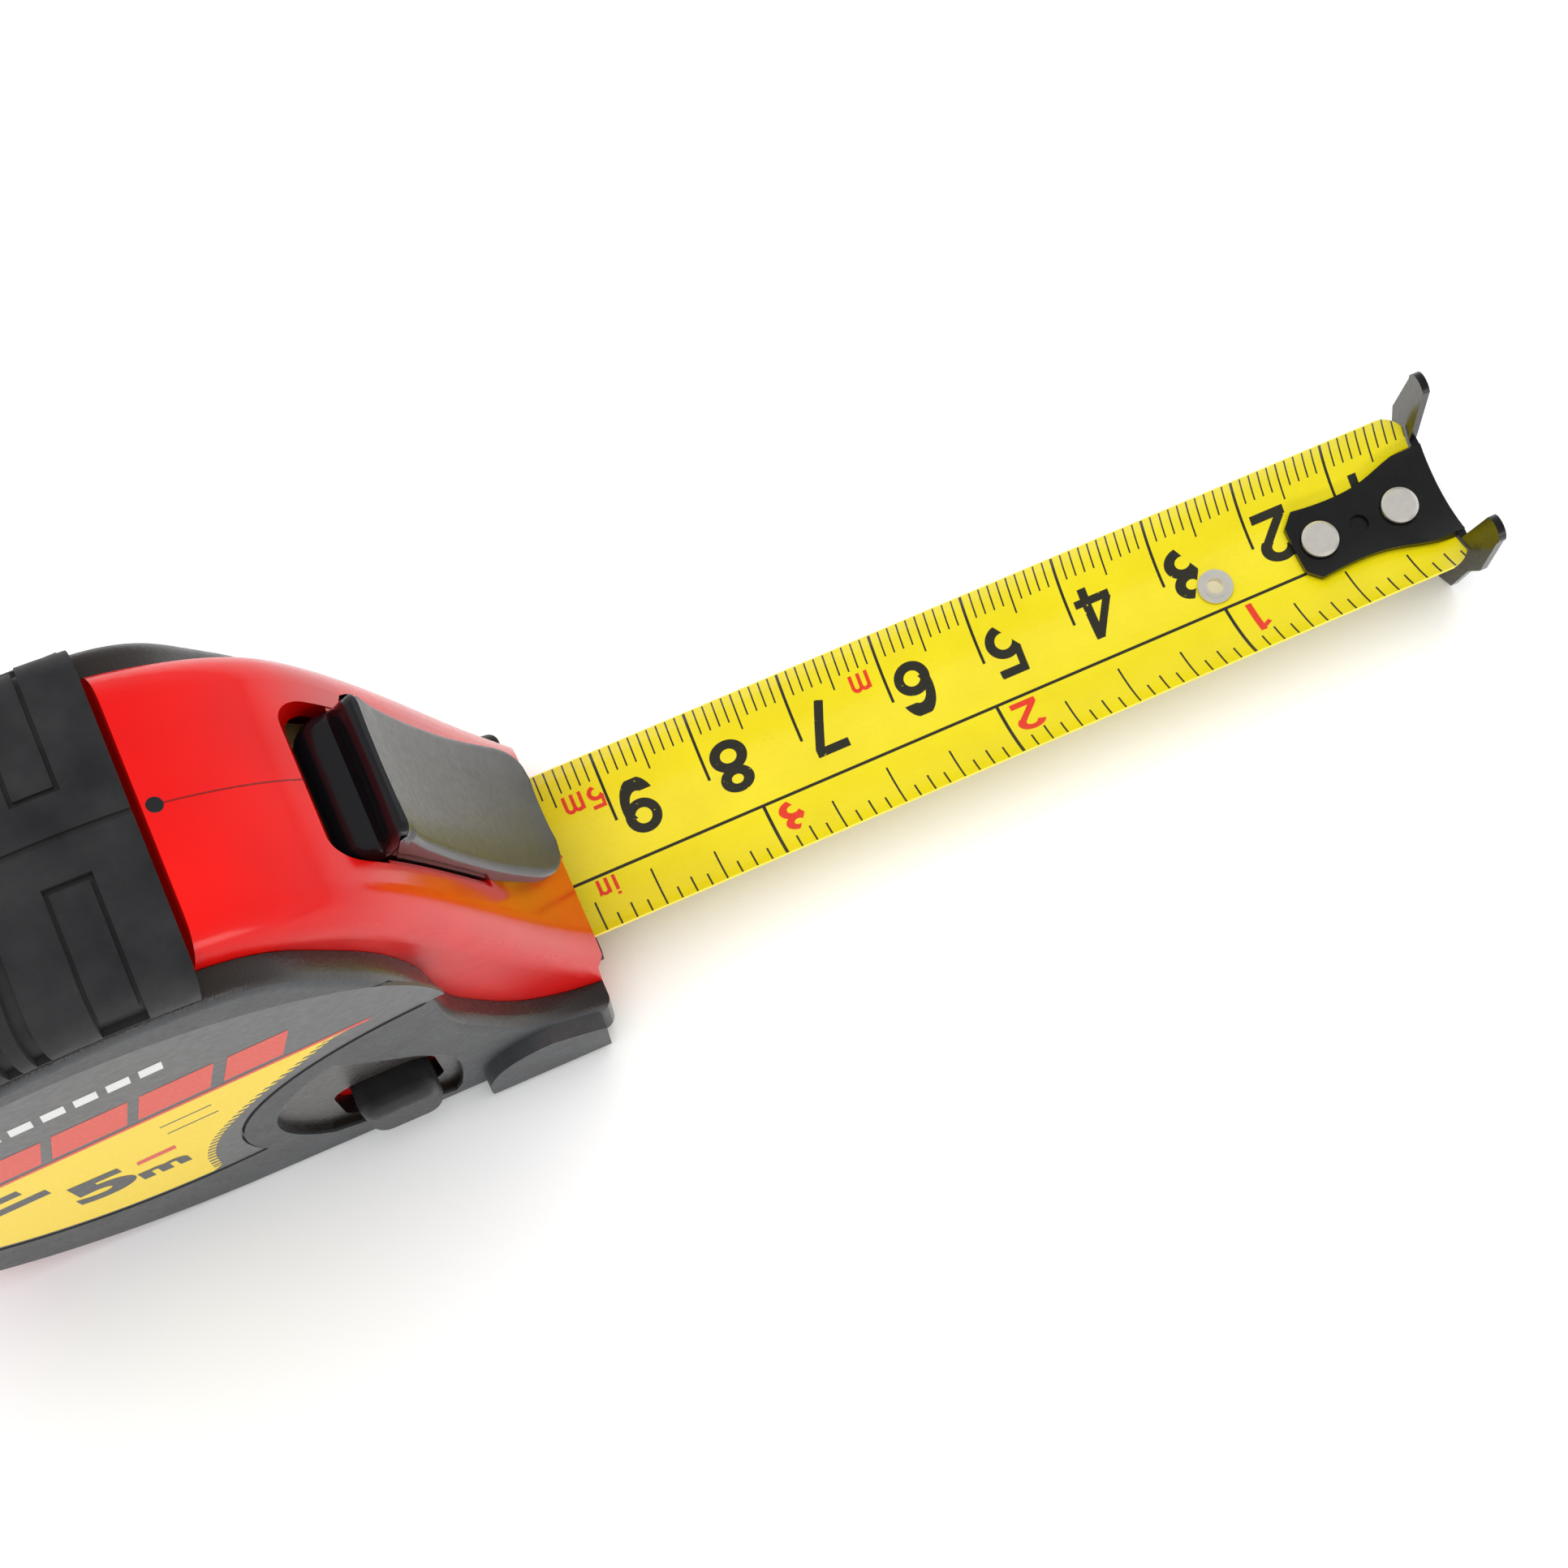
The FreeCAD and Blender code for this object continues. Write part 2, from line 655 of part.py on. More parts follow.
# ------------------------------------------------------------------ lock lever
UNDER = inward(NOSE, -0.4)
LEVER_TOP = [(27.9, 58.6), (30.1, 50.4), (33.0, 41.8), (37.0, 33.1)]
lock_lever = Solid("lock_lever")
side_view = outline(
    (26.8, 64.9),
    ("curve", *LEVER_TOP),
    ("line", (36.5, 31.8), (UNDER[6][0] + 0.5, 30.6)),
    ("curve", (32.9, 36.6), (31.45, 41.6), (29.9, 46.9)),
    ("line", (26.9, 46.2), (26.6, 48.0), (26.2, 49.4), (24.6, 49.2)),
    ("line", (22.9, 51.2), (24.3, 55.4), (22.6, 60.0), (19.6, 61.4)),
    ("line", (19.8, 62.7), (24.3, 62.3), (24.6, 63.4)),
)
half = S["lever_half_width"]
lock_lever.pad(side_view, "XZ", -half, 2 * half, 1)
lock_lever.soften((1.0, 0.8, 0.6), lambda e: abs(abs(centre_of(e).y) - half) < 0.01 and e.Length > 20
                  and centre_of(e).x > 27)
lock_lever.pad(ring(LEVER_PIVOT, 1.75), "XZ", -7.0, 14, 1)
lock_lever.cut(ring(LEVER_PIVOT, S["lever_bore"]), "XZ", -8, 16, 1)
lock_lever.cut(outline(
    (26.9, 61.2),
    ("curve", (27.4, 58.4), (29.6, 50.2), (32.5, 41.6), (35.2, 35.6)),
    ("line", (39.5, 36.5), (34.0, 63.0)),
), "XZ", -half + 1.1, 2 * half - 2.2, 1)

lever_pad = Solid("lever_pad")
lever_pad.pad(outline(
    (26.95, 61.15),
    ("curve", (27.45, 58.4), (29.65, 50.2), (32.55, 41.6), (35.2, 35.7)),
    ("line", (35.75, 35.9)),
    ("curve", (33.0, 41.9), (30.1, 50.5), (27.95, 58.5), (27.35, 61.3)),
), "XZ", -half + 1.15, 2 * half - 2.3, 1)

lock_shoe = Solid("lock_shoe")
lock_shoe.pad(outline(
    (26.8, 46.12),
    ("line", (28.7, 46.55), (28.4, 44.2)),
    ("line", (26.6, 42.4), (25.75, 43.4)),
    ("arc", (24.85, 46.6), (24.1, 48.75)),
    ("line", (26.15, 49.05), (26.5, 48.0)),
), "XZ", -5, 10, 1)

PIN_END = V(LEVER_PIVOT[0], -11.3, LEVER_PIVOT[1])
keep("lever_pin", cylinder("lever_pin", "dims.lever_pin_radius", 22.6, PIN_END, Y_AXIS))

# ----------------------------------------------------------------------- brake
brake_bar = Solid("brake_bar")
brake_bar.pad(stadium(11.8, 18.9, 3.4, 6.6, 0.6), "XZ", -10.3, 20.6, 1)
for side in (-1, 1):
    brake_bar.pad(stadium(11.8, 18.9, 3.4, 18.0, 0.6), "XZ", side * 9.75, 0.55, side)
    brake_bar.pad(stadium(11.5, 19.2, 7.9, 18.4, 2.2), "XZ", side * 9.75, "dims.knob_reach - 9.75", side)
reach = S["knob_reach"]
brake_bar.soften((1.6, 1.2), lambda e: abs(abs(centre_of(e).y) - reach) < 0.01)
groove = outline((11.0, -3.2), ("line", (19.5, -3.2), (19.5, 3.2), (11.0, 3.2)))
brake_bar.cut(groove, "XY", 7.0, 0.8, -1)


def pad_section():
    """The pad follows the blade's curve at full press, and a channel lets the eyelet through."""
    r = S["blade_radius"] + 0.1
    centre = S["blade_height"] + S["blade_radius"] - S["brake_travel"]

    def top(y):
        return (y, centre - math.sqrt(r * r - y * y))
    return outline(
        (-3.15, 6.22),
        ("line", (3.15, 6.22), (3.15, 6.62), (6.0, 6.62), top(6.0)),
        ("arc", top(4.0), top(2.1)),
        ("line", (2.1, 6.75), (-2.1, 6.75), top(-2.1)),
        ("arc", top(-4.0), top(-6.0)),
        ("line", (-6.0, 6.62), (-3.15, 6.62)),
    )


brake_pad = Solid("brake_pad")
brake_pad.pad(pad_section(), "YZ", 12.4, 4.4, 1)

brake_spring = Solid("brake_spring")
brake_spring.pad(stadium(17.2, 27.0, -3.0, 3.0, 0.5), "XY", 6.68, 0.3, 1)

# ------------------------------------------------------------- mouth furniture
blade_guide = Solid("blade_guide")
blade_guide.pad(stadium(21.0, 35.4, -9.4, 9.4, 0.6), "XY", 7.05, 1.15, 1)
for side in (-1, 1):
    near = side * 3.3
    far = side * 4.8
    foot = outline((23.8, near), ("line", (27.2, near), (27.2, far), (23.8, far)))
    blade_guide.pad(foot, "XY", 2.65, 4.5, 1)
block_foot = outline((23.8, -4.8), ("line", (27.2, -4.8), (27.2, 4.8), (23.8, 4.8)))
blade_guide.pad(block_foot, "XY", 2.65, 3.95, 1)

mouth_bumper = Solid("mouth_bumper")
mouth_bumper.pad(stadium(-9.0, 9.0, 2.2, 7.0, 1.0), "YZ", 37.45, 1.15, 1)

# -------------------------------------------------------------------- fasteners
HEAD_SEAT = S["cheek_start"] + S["cheek_thickness"] - 1.8 + 0.03
screws = []
for n, (x, z) in enumerate(SCREWS):
    shank = cylinder("screw_shank_%d" % n, "dims.screw_radius", HEAD_SEAT + 8.2, V(x, -8.0, z), Y_AXIS)
    head = cylinder("screw_head_%d" % n, "dims.screw_head_radius", 1.3, V(x, HEAD_SEAT, z), Y_AXIS)
    whole = fuse("screw_body_%d" % n, shank, head)
    y = HEAD_SEAT + 0.5
    cross = fuse("screw_cross_%d" % n,
                 block("screw_bar_a_%d" % n, (x - 1.4, y, z - 0.3), (x + 1.4, y + 2, z + 0.3)),
                 block("screw_bar_b_%d" % n, (x - 0.3, y, z - 1.4), (x + 0.3, y + 2, z + 1.4)))
    screws.append(cut("screw_%d" % n, whole, cross))
keep("case_screws", fuse("case_screws", *screws))

# ------------------------------------------------------------------- belt clip
CHEEK_FACE = S["cheek_start"] + S["cheek_thickness"]
gauge = S["clip_gauge"]
foot_in = CHEEK_FACE + 0.03
arm = CHEEK_FACE + 5.2
belt_clip = Solid("belt_clip")
belt_clip.pad(outline(
    (foot_in, 72.0),
    ("line", (foot_in, 60.0)),
    ("curve", (foot_in + 1.0, 57.0), (arm - 0.6, 53.6), (arm, 50.4)),
    ("line", (arm - 0.3, 24.0)),
    ("line", (arm + 1.4, 18.0), (arm + 2.4, 18.2), (arm + 0.75, 24.2), (arm + gauge, 50.4)),
    ("curve", (arm + 0.3, 54.4), (foot_in + 2.0, 57.6), (foot_in + gauge, 60.4)),
    ("line", (foot_in + gauge, 72.0)),
), "YZ", "%f - dims.clip_width / 2" % CLIP_SCREW[0], "dims.clip_width", 1)
belt_clip.cut(ring(CLIP_SCREW, 1.7), "XZ", 12, 6, 1)

HEAD_BASE = V(CLIP_SCREW[0], foot_in + gauge + 0.03, CLIP_SCREW[1])
SHANK_BASE = V(CLIP_SCREW[0], 5.0, CLIP_SCREW[1])
clip_head = cylinder("clip_head", 3.1, 1.3, HEAD_BASE, Y_AXIS)
clip_shank = cylinder("clip_shank", 1.6, foot_in + gauge - 4.9, SHANK_BASE, Y_AXIS)
clip_whole = fuse("clip_whole", clip_head, clip_shank)
y0 = foot_in + gauge + 0.6
clip_cross = fuse("clip_cross",
                  block("clip_bar_a", (CLIP_SCREW[0] - 1.8, y0, CLIP_SCREW[1] - 0.35),
                        (CLIP_SCREW[0] + 1.8, y0 + 2, CLIP_SCREW[1] + 0.35)),
                  block("clip_bar_b", (CLIP_SCREW[0] - 0.35, y0, CLIP_SCREW[1] - 1.8),
                        (CLIP_SCREW[0] + 0.35, y0 + 2, CLIP_SCREW[1] + 1.8)))
keep("clip_screw", cut("clip_screw", clip_whole, clip_cross))

# ----------------------------------------------------------------- check, save
doc.recompute()
faults = []
for obj in doc.Objects:
    if "Invalid" in obj.State or "Error" in obj.State:
        faults.append(obj.Name + " " + str(obj.State))
for node, obj in nodes:
    if obj.Shape.isNull() or not obj.Shape.isValid():
        faults.append(node + " has a bad shape")
        continue
    box = obj.Shape.BoundBox
    print("%-15s solids %d  x %.1f..%.1f  y %.1f..%.1f  z %.1f..%.1f" % (
        node, len(obj.Shape.Solids), box.XMin, box.XMax, box.YMin, box.YMax, box.ZMin, box.ZMax))
    obj.Shape.exportStep("parts/%s.step" % node)
print("faults:", faults)
if faults:
    raise SystemExit(1)
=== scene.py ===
import json
import math

import bmesh
import bpy
from mathutils import Matrix, Vector
from mathutils.bvhtree import BVHTree

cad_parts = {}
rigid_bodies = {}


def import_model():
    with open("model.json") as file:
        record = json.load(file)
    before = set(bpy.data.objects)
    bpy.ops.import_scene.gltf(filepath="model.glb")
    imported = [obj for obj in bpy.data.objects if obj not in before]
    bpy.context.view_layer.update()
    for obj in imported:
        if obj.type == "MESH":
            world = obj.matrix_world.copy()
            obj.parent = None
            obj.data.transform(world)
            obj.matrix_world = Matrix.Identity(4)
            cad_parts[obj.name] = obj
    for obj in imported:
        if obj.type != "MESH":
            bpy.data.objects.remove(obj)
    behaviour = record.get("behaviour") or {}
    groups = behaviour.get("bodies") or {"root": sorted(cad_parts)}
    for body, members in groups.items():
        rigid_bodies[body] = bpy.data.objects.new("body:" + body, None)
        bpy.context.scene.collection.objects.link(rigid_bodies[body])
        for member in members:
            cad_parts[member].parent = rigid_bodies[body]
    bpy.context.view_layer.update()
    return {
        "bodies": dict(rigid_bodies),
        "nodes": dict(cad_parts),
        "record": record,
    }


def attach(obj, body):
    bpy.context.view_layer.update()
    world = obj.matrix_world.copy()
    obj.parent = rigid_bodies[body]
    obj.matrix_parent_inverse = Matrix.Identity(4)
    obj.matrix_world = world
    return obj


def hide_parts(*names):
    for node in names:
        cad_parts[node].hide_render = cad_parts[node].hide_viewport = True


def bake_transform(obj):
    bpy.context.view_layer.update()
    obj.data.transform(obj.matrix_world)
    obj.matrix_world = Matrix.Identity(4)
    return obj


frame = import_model()

MM = 0.001
AXIS_Z = 39.4          # height of the reel's axis, mm
BLADE_BOTTOM = 9.0     # underside of the blade's middle, mm
BLADE_R = 12.39        # radius of the blade's cross-section, mm
BLADE_T = 0.2
ZERO_X = 135.0         # where the printed scale starts, mm
INCH = 25.4
FLANK_Y = 11.2         # from here outwards the red shell is scuffed, mm
FLANK_FADE = 1.6
CHEEK_WALL_Y = 14.9    # the cheek's shiny edge lies inside this, mm


# ------------------------------------------------------------------ shader kit
class Sum:
    """A socket or a number that takes part in arithmetic made of Math nodes."""

    def __init__(self, tree, value):
        self.tree = tree
        self.value = value

    def _node(self, operation, *others):
        node = self.tree.nodes.new("ShaderNodeMath")
        node.operation = operation
        for n, item in enumerate((self,) + others):
            value = item.value if isinstance(item, Sum) else item
            if isinstance(value, (int, float)):
                node.inputs[n].default_value = value
            else:
                self.tree.links.new(value, node.inputs[n])
        return Sum(self.tree, node.outputs[0])

    def __add__(self, other):
        return self._node("ADD", other)

    def __sub__(self, other):
        return self._node("SUBTRACT", other)

    def __mul__(self, other):
        return self._node("MULTIPLY", other)

    def __truediv__(self, other):
        return self._node("DIVIDE", other)

    def __abs__(self):
        return self._node("ABSOLUTE")

    def mod(self, other):
        return self._node("FLOORED_MODULO", other)

    def below(self, other):
        return self._node("LESS_THAN", other)

    def above(self, other):
        return self._node("GREATER_THAN", other)

    def low(self, other):
        return self._node("MINIMUM", other)

    def high(self, other):
        return self._node("MAXIMUM", other)

    def root(self):
        return self._node("SQRT")

    def floor(self):
        return self._node("FLOOR")

    def arcsine(self):
        return self._node("ARCSINE")

    def near(self, other, gap):
        return abs(self - other).below(gap)

    def pick(self, when, instead):
        """This value, or the other one where when is 1."""
        return self * (when * -1.0 + 1.0) + when * instead


class Paint:
    """One principled material and the nodes that feed it."""

    def __init__(self, name, colour, roughness, metallic=0.0, coat=0.0, coat_roughness=0.05, sheen=0.0):
        self.mat = bpy.data.materials.new(name)
        self.mat.use_nodes = True
        self.tree = self.mat.node_tree
        self.shader = self.tree.nodes["Principled BSDF"]
        self.put("Base Color", (*colour, 1))
        self.put("Roughness", roughness)
        self.put("Metallic", metallic)
        self.put("Coat Weight", coat)
        self.put("Coat Roughness", coat_roughness)
        self.put("Sheen Weight", sheen)
        self.put("IOR", 1.5)
        self.mat.diffuse_color = (*colour, 1)
        self.coords = None
        self.heights = []

    def put(self, socket, value):
        self.shader.inputs[socket].default_value = value

    def link(self, source, socket):
        self.tree.links.new(source, self.shader.inputs[socket])

    def place(self, stretch=(1, 1, 1)):
        if self.coords is None:
            self.coords = self.tree.nodes.new("ShaderNodeTexCoord")
        if stretch == (1, 1, 1):
            return self.coords.outputs["Object"]
        mapping = self.tree.nodes.new("ShaderNodeMapping")
        mapping.inputs["Scale"].default_value = stretch
        self.tree.links.new(self.coords.outputs["Object"], mapping.inputs["Vector"])
        return mapping.outputs["Vector"]

    def noise(self, size_mm, detail=3.0, rough=0.55, stretch=(1, 1, 1)):
        node = self.tree.nodes.new("ShaderNodeTexNoise")
        node.inputs["Scale"].default_value = 1.0 / (size_mm * MM)
        node.inputs["Detail"].default_value = detail
        node.inputs["Roughness"].default_value = rough
        self.tree.links.new(self.place(stretch), node.inputs["Vector"])
        return node.outputs["Fac"]

    def cells(self, size_mm, stretch=(1, 1, 1)):
        node = self.tree.nodes.new("ShaderNodeTexVoronoi")
        node.inputs["Scale"].default_value = 1.0 / (size_mm * MM)
        self.tree.links.new(self.place(stretch), node.inputs["Vector"])
        return node.outputs["Distance"]

    def ramp(self, factor, stops, constant=False):
        node = self.tree.nodes.new("ShaderNodeValToRGB")
        node.color_ramp.interpolation = "CONSTANT" if constant else "LINEAR"
        marks = node.color_ramp.elements
        while len(marks) < len(stops):
            marks.new(0.5)
        for mark, (where, value) in zip(marks, stops):
            mark.position = where
            mark.color = (value, value, value, 1) if isinstance(value, (int, float)) else (*value, 1)
        self.tree.links.new(factor, node.inputs["Fac"])
        return node.outputs["Color"]

    def mix(self, factor, first, second, blend="MIX"):
        node = self.tree.nodes.new("ShaderNodeMix")
        node.data_type = "RGBA"
        node.blend_type = blend
        for socket, value in ((node.inputs[0], factor), (node.inputs[6], first), (node.inputs[7], second)):
            if isinstance(value, (int, float)):
                socket.default_value = value
            elif isinstance(value, tuple):
                socket.default_value = (*value, 1)
            else:
                self.tree.links.new(value, socket)
        return node.outputs[2]

    def mottle(self, size_mm, detail, dark, light, stops=((0.3, 0.0), (0.75, 1.0))):
        """A colour that drifts between two close ones."""
        return self.mix(self.ramp(self.noise(size_mm, detail), stops), dark, light)

    def spread(self, factor, low, high):
        node = self.tree.nodes.new("ShaderNodeMapRange")
        node.inputs["To Min"].default_value = low
        node.inputs["To Max"].default_value = high
        self.tree.links.new(factor, node.inputs["Value"])
        return node.outputs["Result"]

    def bump(self, height, depth_mm, strength=1.0):
        node = self.tree.nodes.new("ShaderNodeBump")
        node.inputs["Distance"].default_value = depth_mm * MM
        node.inputs["Strength"].default_value = strength
        self.tree.links.new(height, node.inputs["Height"])
        if self.heights:
            self.tree.links.new(self.heights[-1], node.inputs["Normal"])
        self.heights.append(node.outputs["Normal"])
        self.tree.links.new(node.outputs["Normal"], self.shader.inputs["Normal"])

    def xyz(self):
        split = self.tree.nodes.new("ShaderNodeSeparateXYZ")
        self.tree.links.new(self.place(), split.inputs[0])
        return [Sum(self.tree, split.outputs[n]) * 1000.0 for n in range(3)]


# -------------------------------------------------------------------- materials
def red_gloss():
    p = Paint("red_gloss", (0.66, 0.004, 0.002), 0.2)
    red = p.mottle(14, 2, (0.58, 0.0012, 0.0006), (0.68, 0.003, 0.001), ((0.35, 0.0), (0.7, 1.0)))
    p.link(red, "Base Color")
    flank = ((abs(p.xyz()[1]) - FLANK_Y) / FLANK_FADE).high(0.0).low(1.0)
    p.link((flank * -0.34 + 0.42).value, "Specular IOR Level")
    p.link((Sum(p.tree, p.spread(p.noise(3.0, 4), 0.12, 0.24)) + flank * 0.22).value, "Roughness")
    scratch = p.ramp(p.noise(0.9, 4, 0.7, stretch=(0.25, 1, 1)), [(0.55, 0.0), (0.7, 1.0)])
    p.bump((Sum(p.tree, scratch) * flank * flank).value, 0.012)
    p.bump(p.noise(1.6, 3), 0.006)
    p.bump(p.noise(9, 1), 0.03)
    return p.mat


def rubber():
    p = Paint("jacket_rubber", (0.014, 0.014, 0.015), 0.62, sheen=0.04)
    p.put("Specular IOR Level", 0.35)
    p.link(p.mottle(5, 4, (0.009, 0.009, 0.010), (0.021, 0.021, 0.022)), "Base Color")
    p.link(p.spread(p.noise(1.2, 4), 0.48, 0.78), "Roughness")
    p.bump(p.noise(0.18, 3), 0.02)
    return p.mat


def grey_plastic():
    p = Paint("cheek_plastic", (0.075, 0.08, 0.085), 0.55)
    face = p.mottle(4, 5, (0.030, 0.032, 0.034), (0.052, 0.055, 0.058))
    wall = abs(p.xyz()[1]).below(CHEEK_WALL_Y)
    p.link(p.mix(wall.value, face, (0.016, 0.012, 0.010)), "Base Color")
    p.link((Sum(p.tree, p.spread(p.noise(0.8, 4), 0.42, 0.68)) - wall * 0.25).value, "Roughness")
    p.bump(p.cells(0.22), 0.018)
    return p.mat


def gloss_black():
    p = Paint("lever_gloss", (0.004, 0.004, 0.005), 0.16, coat=0.15, coat_roughness=0.04)
    p.link(p.spread(p.noise(2.5, 4), 0.12, 0.28), "Roughness")
    p.bump(p.noise(2.4, 3), 0.02)
    return p.mat


def satin_pad():
    p = Paint("lever_satin", (0.045, 0.046, 0.048), 0.38)
    p.link(p.mix(p.noise(3, 4), (0.026, 0.027, 0.029), (0.042, 0.043, 0.045)), "Base Color")
    p.link(p.spread(p.noise(0.7, 4), 0.3, 0.5), "Roughness")
    p.bump(p.noise(0.25, 3), 0.012)
    return p.mat


def satin_black():
    p = Paint("knob_satin", (0.018, 0.018, 0.02), 0.45)
    p.put("Specular IOR Level", 0.35)
    p.link(p.mix(p.noise(2, 4), (0.006, 0.006, 0.007), (0.016, 0.016, 0.017)), "Base Color")
    p.link(p.spread(p.noise(0.6, 4), 0.36, 0.6), "Roughness")
    p.bump(p.noise(0.3, 3), 0.015)
    return p.mat


def blade_yellow():
    p = Paint("blade_yellow", (0.83, 0.66, 0.008), 0.3, coat=0.35, coat_roughness=0.12)
    p.link(p.mottle(6, 4, (0.80, 0.62, 0.006), (0.86, 0.70, 0.012)), "Base Color")
    p.link(p.spread(p.noise(0.5, 4, stretch=(0.3, 1, 1)), 0.24, 0.4), "Roughness")
    p.bump(p.noise(0.35, 3), 0.004)
    return p.mat


def ring(p, q, cx, cy, rx, ry, half=0.52):
    """A stroke along an ellipse."""
    a = (p - cx) / rx
    b = (q - cy) / ry
    return (abs((a * a + b * b).root() - 1.0) * min(rx, ry)).below(half)


def stroke(p, q, x0, y0, x1, y1, half=0.52):
    """A straight stroke with square ends."""
    run = math.hypot(x1 - x0, y1 - y0)
    ux, uy = (x1 - x0) / run, (y1 - y0) / run
    a = p - x0
    b = q - y0
    along = a * ux + b * uy
    side = abs(b * ux - a * uy)
    return side.below(half) * along.above(0) * along.below(run)


def bowl_and_tail(p, q):
    """The figure 6, which is a 9 when turned half round."""
    bowl = ring(p, q, 0, -1.15, 1.5, 1.4)
    tail = ring(p, q, 0.1, 0, 1.6, 2.48)
    return bowl.high(tail * p.below(0.2) * q.above(-1.2)).high(tail * q.above(1.5) * p.above(0))


GLYPH_ORDER = "0123456789mni"


def glyphs(p, q):
    """Masks of the figures and letters in a box 4.2 wide and 6 tall, about the middle."""
    one = stroke(p, q, 0.3, -3, 0.3, 3).high(stroke(p, q, -1.3, 1.5, 0.5, 2.6, 0.4))
    two = (ring(p, q, 0, 1.3, 1.55, 1.2) * (q - 1.3 + (p + 1.0) * 0.4).above(0)
           ).high(stroke(p, q, 1.5, 0.95, -1.5, -2.2, 0.5)).high(stroke(p, q, -2.05, -2.48, 2.05, -2.48))
    three = (ring(p, q, -0.1, 1.4, 1.35, 1.1) * (p + 0.7 + (q - 1.4) * -0.6).above(0)).high(
        ring(p, q, -0.05, -1.25, 1.55, 1.25) * (p + 0.7 + (q + 1.25) * 0.6).above(0))
    four = stroke(p, q, 0.7, 2.8, -1.8, -1.3, 0.45).high(stroke(p, q, -2.1, -1.45, 2.1, -1.45, 0.45)).high(
        stroke(p, q, 0.75, -3, 0.75, 3))
    belly = ring(p, q, 0, -1.0, 1.55, 1.45)
    open_left = (p + 0.9 + (q + 1.0) * 0.75).above(0).high(p.above(-0.2) * q.above(-1))
    five = stroke(p, q, -1.5, 2.5, 1.75, 2.5, 0.5).high(stroke(p, q, -1.25, 0.1, -1.1, 2.9, 0.42)).high(
        belly * open_left)
    six = bowl_and_tail(p, q)
    seven = stroke(p, q, -1.9, 2.5, 1.95, 2.5, 0.5).high(stroke(p, q, 1.5, 2.3, -0.5, -3, 0.52))
    eight = ring(p, q, 0, 1.5, 1.3, 1.0, 0.48).high(ring(p, q, 0, -1.2, 1.55, 1.28, 0.5))
    nine = bowl_and_tail(p * -1.0, q * -1.0)
    zero = ring(p, q, 0, 0, 1.5, 2.45)
    arch = (ring(p, q, -1.0, 0.2, 1.0, 1.1, 0.45).high(ring(p, q, 1.0, 0.2, 1.0, 1.1, 0.45))) * q.above(0.2)
    legs = stroke(p, q, -2, -3, -2, 1.6, 0.45).high(stroke(p, q, 0, -3, 0, 0.4, 0.45)).high(
        stroke(p, q, 2, -3, 2, 0.4, 0.45))
    letter_m = arch.high(legs)
    letter_n = (letter_m * p.below(0.6))
    letter_i = stroke(p, q, 0, -3, 0, 1.6, 0.45).high(stroke(p, q, 0, 2.2, 0, 3.1, 0.45))
    return [zero, one, two, three, four, five, six, seven, eight, nine, letter_m, letter_n, letter_i]


def scale_lines(u, s):
    """Millimetre lines on the far edge, inch lines on the near one and the long line between them."""
    def tick(step, wide):
        return abs((u + step / 2).mod(step) - step / 2).below(wide)

    lines = tick(1, 0.085) * s.above(6.65)
    for step, wide, reach in ((5, 0.09, 5.5), (10, 0.15, 2.05)):
        lines = lines.high(tick(step, wide) * s.above(reach))
    for part, wide, reach in ((16, 0.1, -7.45), (8, 0.1, -6.9), (4, 0.1, -5.1), (2, 0.1, -4.0),
                              (1, 0.17, -2.5)):
        lines = lines.high(tick(INCH / part, wide) * s.below(reach))
    return lines.high(s.near(-2.5, 0.17))


def scale_figures(u, s):
    """Masks of all the figures, and of those that are red: the inches, the tens and the units' names."""
    # centimetres, with two narrow figures from ten on
    count = (u / 10).floor() + 1
    p = (u - (count * 10 - 2.65)) / 0.9
    q = (s - 2.5) / -0.908
    tens = count.above(9.5)
    p = p - tens * 1.9
    left = tens * p.below(-0.35)
    right = tens * p.above(-0.3501)
    figure = (count - tens * 10).pick(left, 1)
    p = p.pick(left, (p + 1.9) * 1.3).pick(right, (p - 1.15) * 1.3)
    # inches
    inch = s.below(-2.8)
    inches = (u / INCH).floor() + 1
    figure = figure.pick(inch, inches)
    p = p.pick(inch, (u - (inches * INCH - 2.45)) / 0.66)
    q = q.pick(inch, (s + 4.9) / -0.62)
    # the small "m", "5 m" and "in", each in a window of its own
    small = s.below(-99)
    for where, across, which, shift in ((62.35, 5.0, "m", 0), (90.9, 5.0, "5", 0), (93.3, 5.0, "m", 0),
                                        (92.6, -4.1, "i", 0), (93.9, -4.1, "n", 0.35)):
        window = u.near(where, 0.4 if which == "i" else 1.12) * s.near(across, 1.3)
        small = small.high(window)
        figure = figure.pick(window, GLYPH_ORDER.index(which))
        p = p.pick(window, (u - (where + shift)) / 0.42)
        q = q.pick(window, (s - across) / -0.4)
    marks = s.below(-99)
    for which, mask in enumerate(glyphs(p, q)):
        marks = marks.high(mask * figure.near(which, 0.5))
    marks = marks * abs(p).below(2.7) * abs(q).below(3.1)
    return marks, inch.high(small).high(tens)


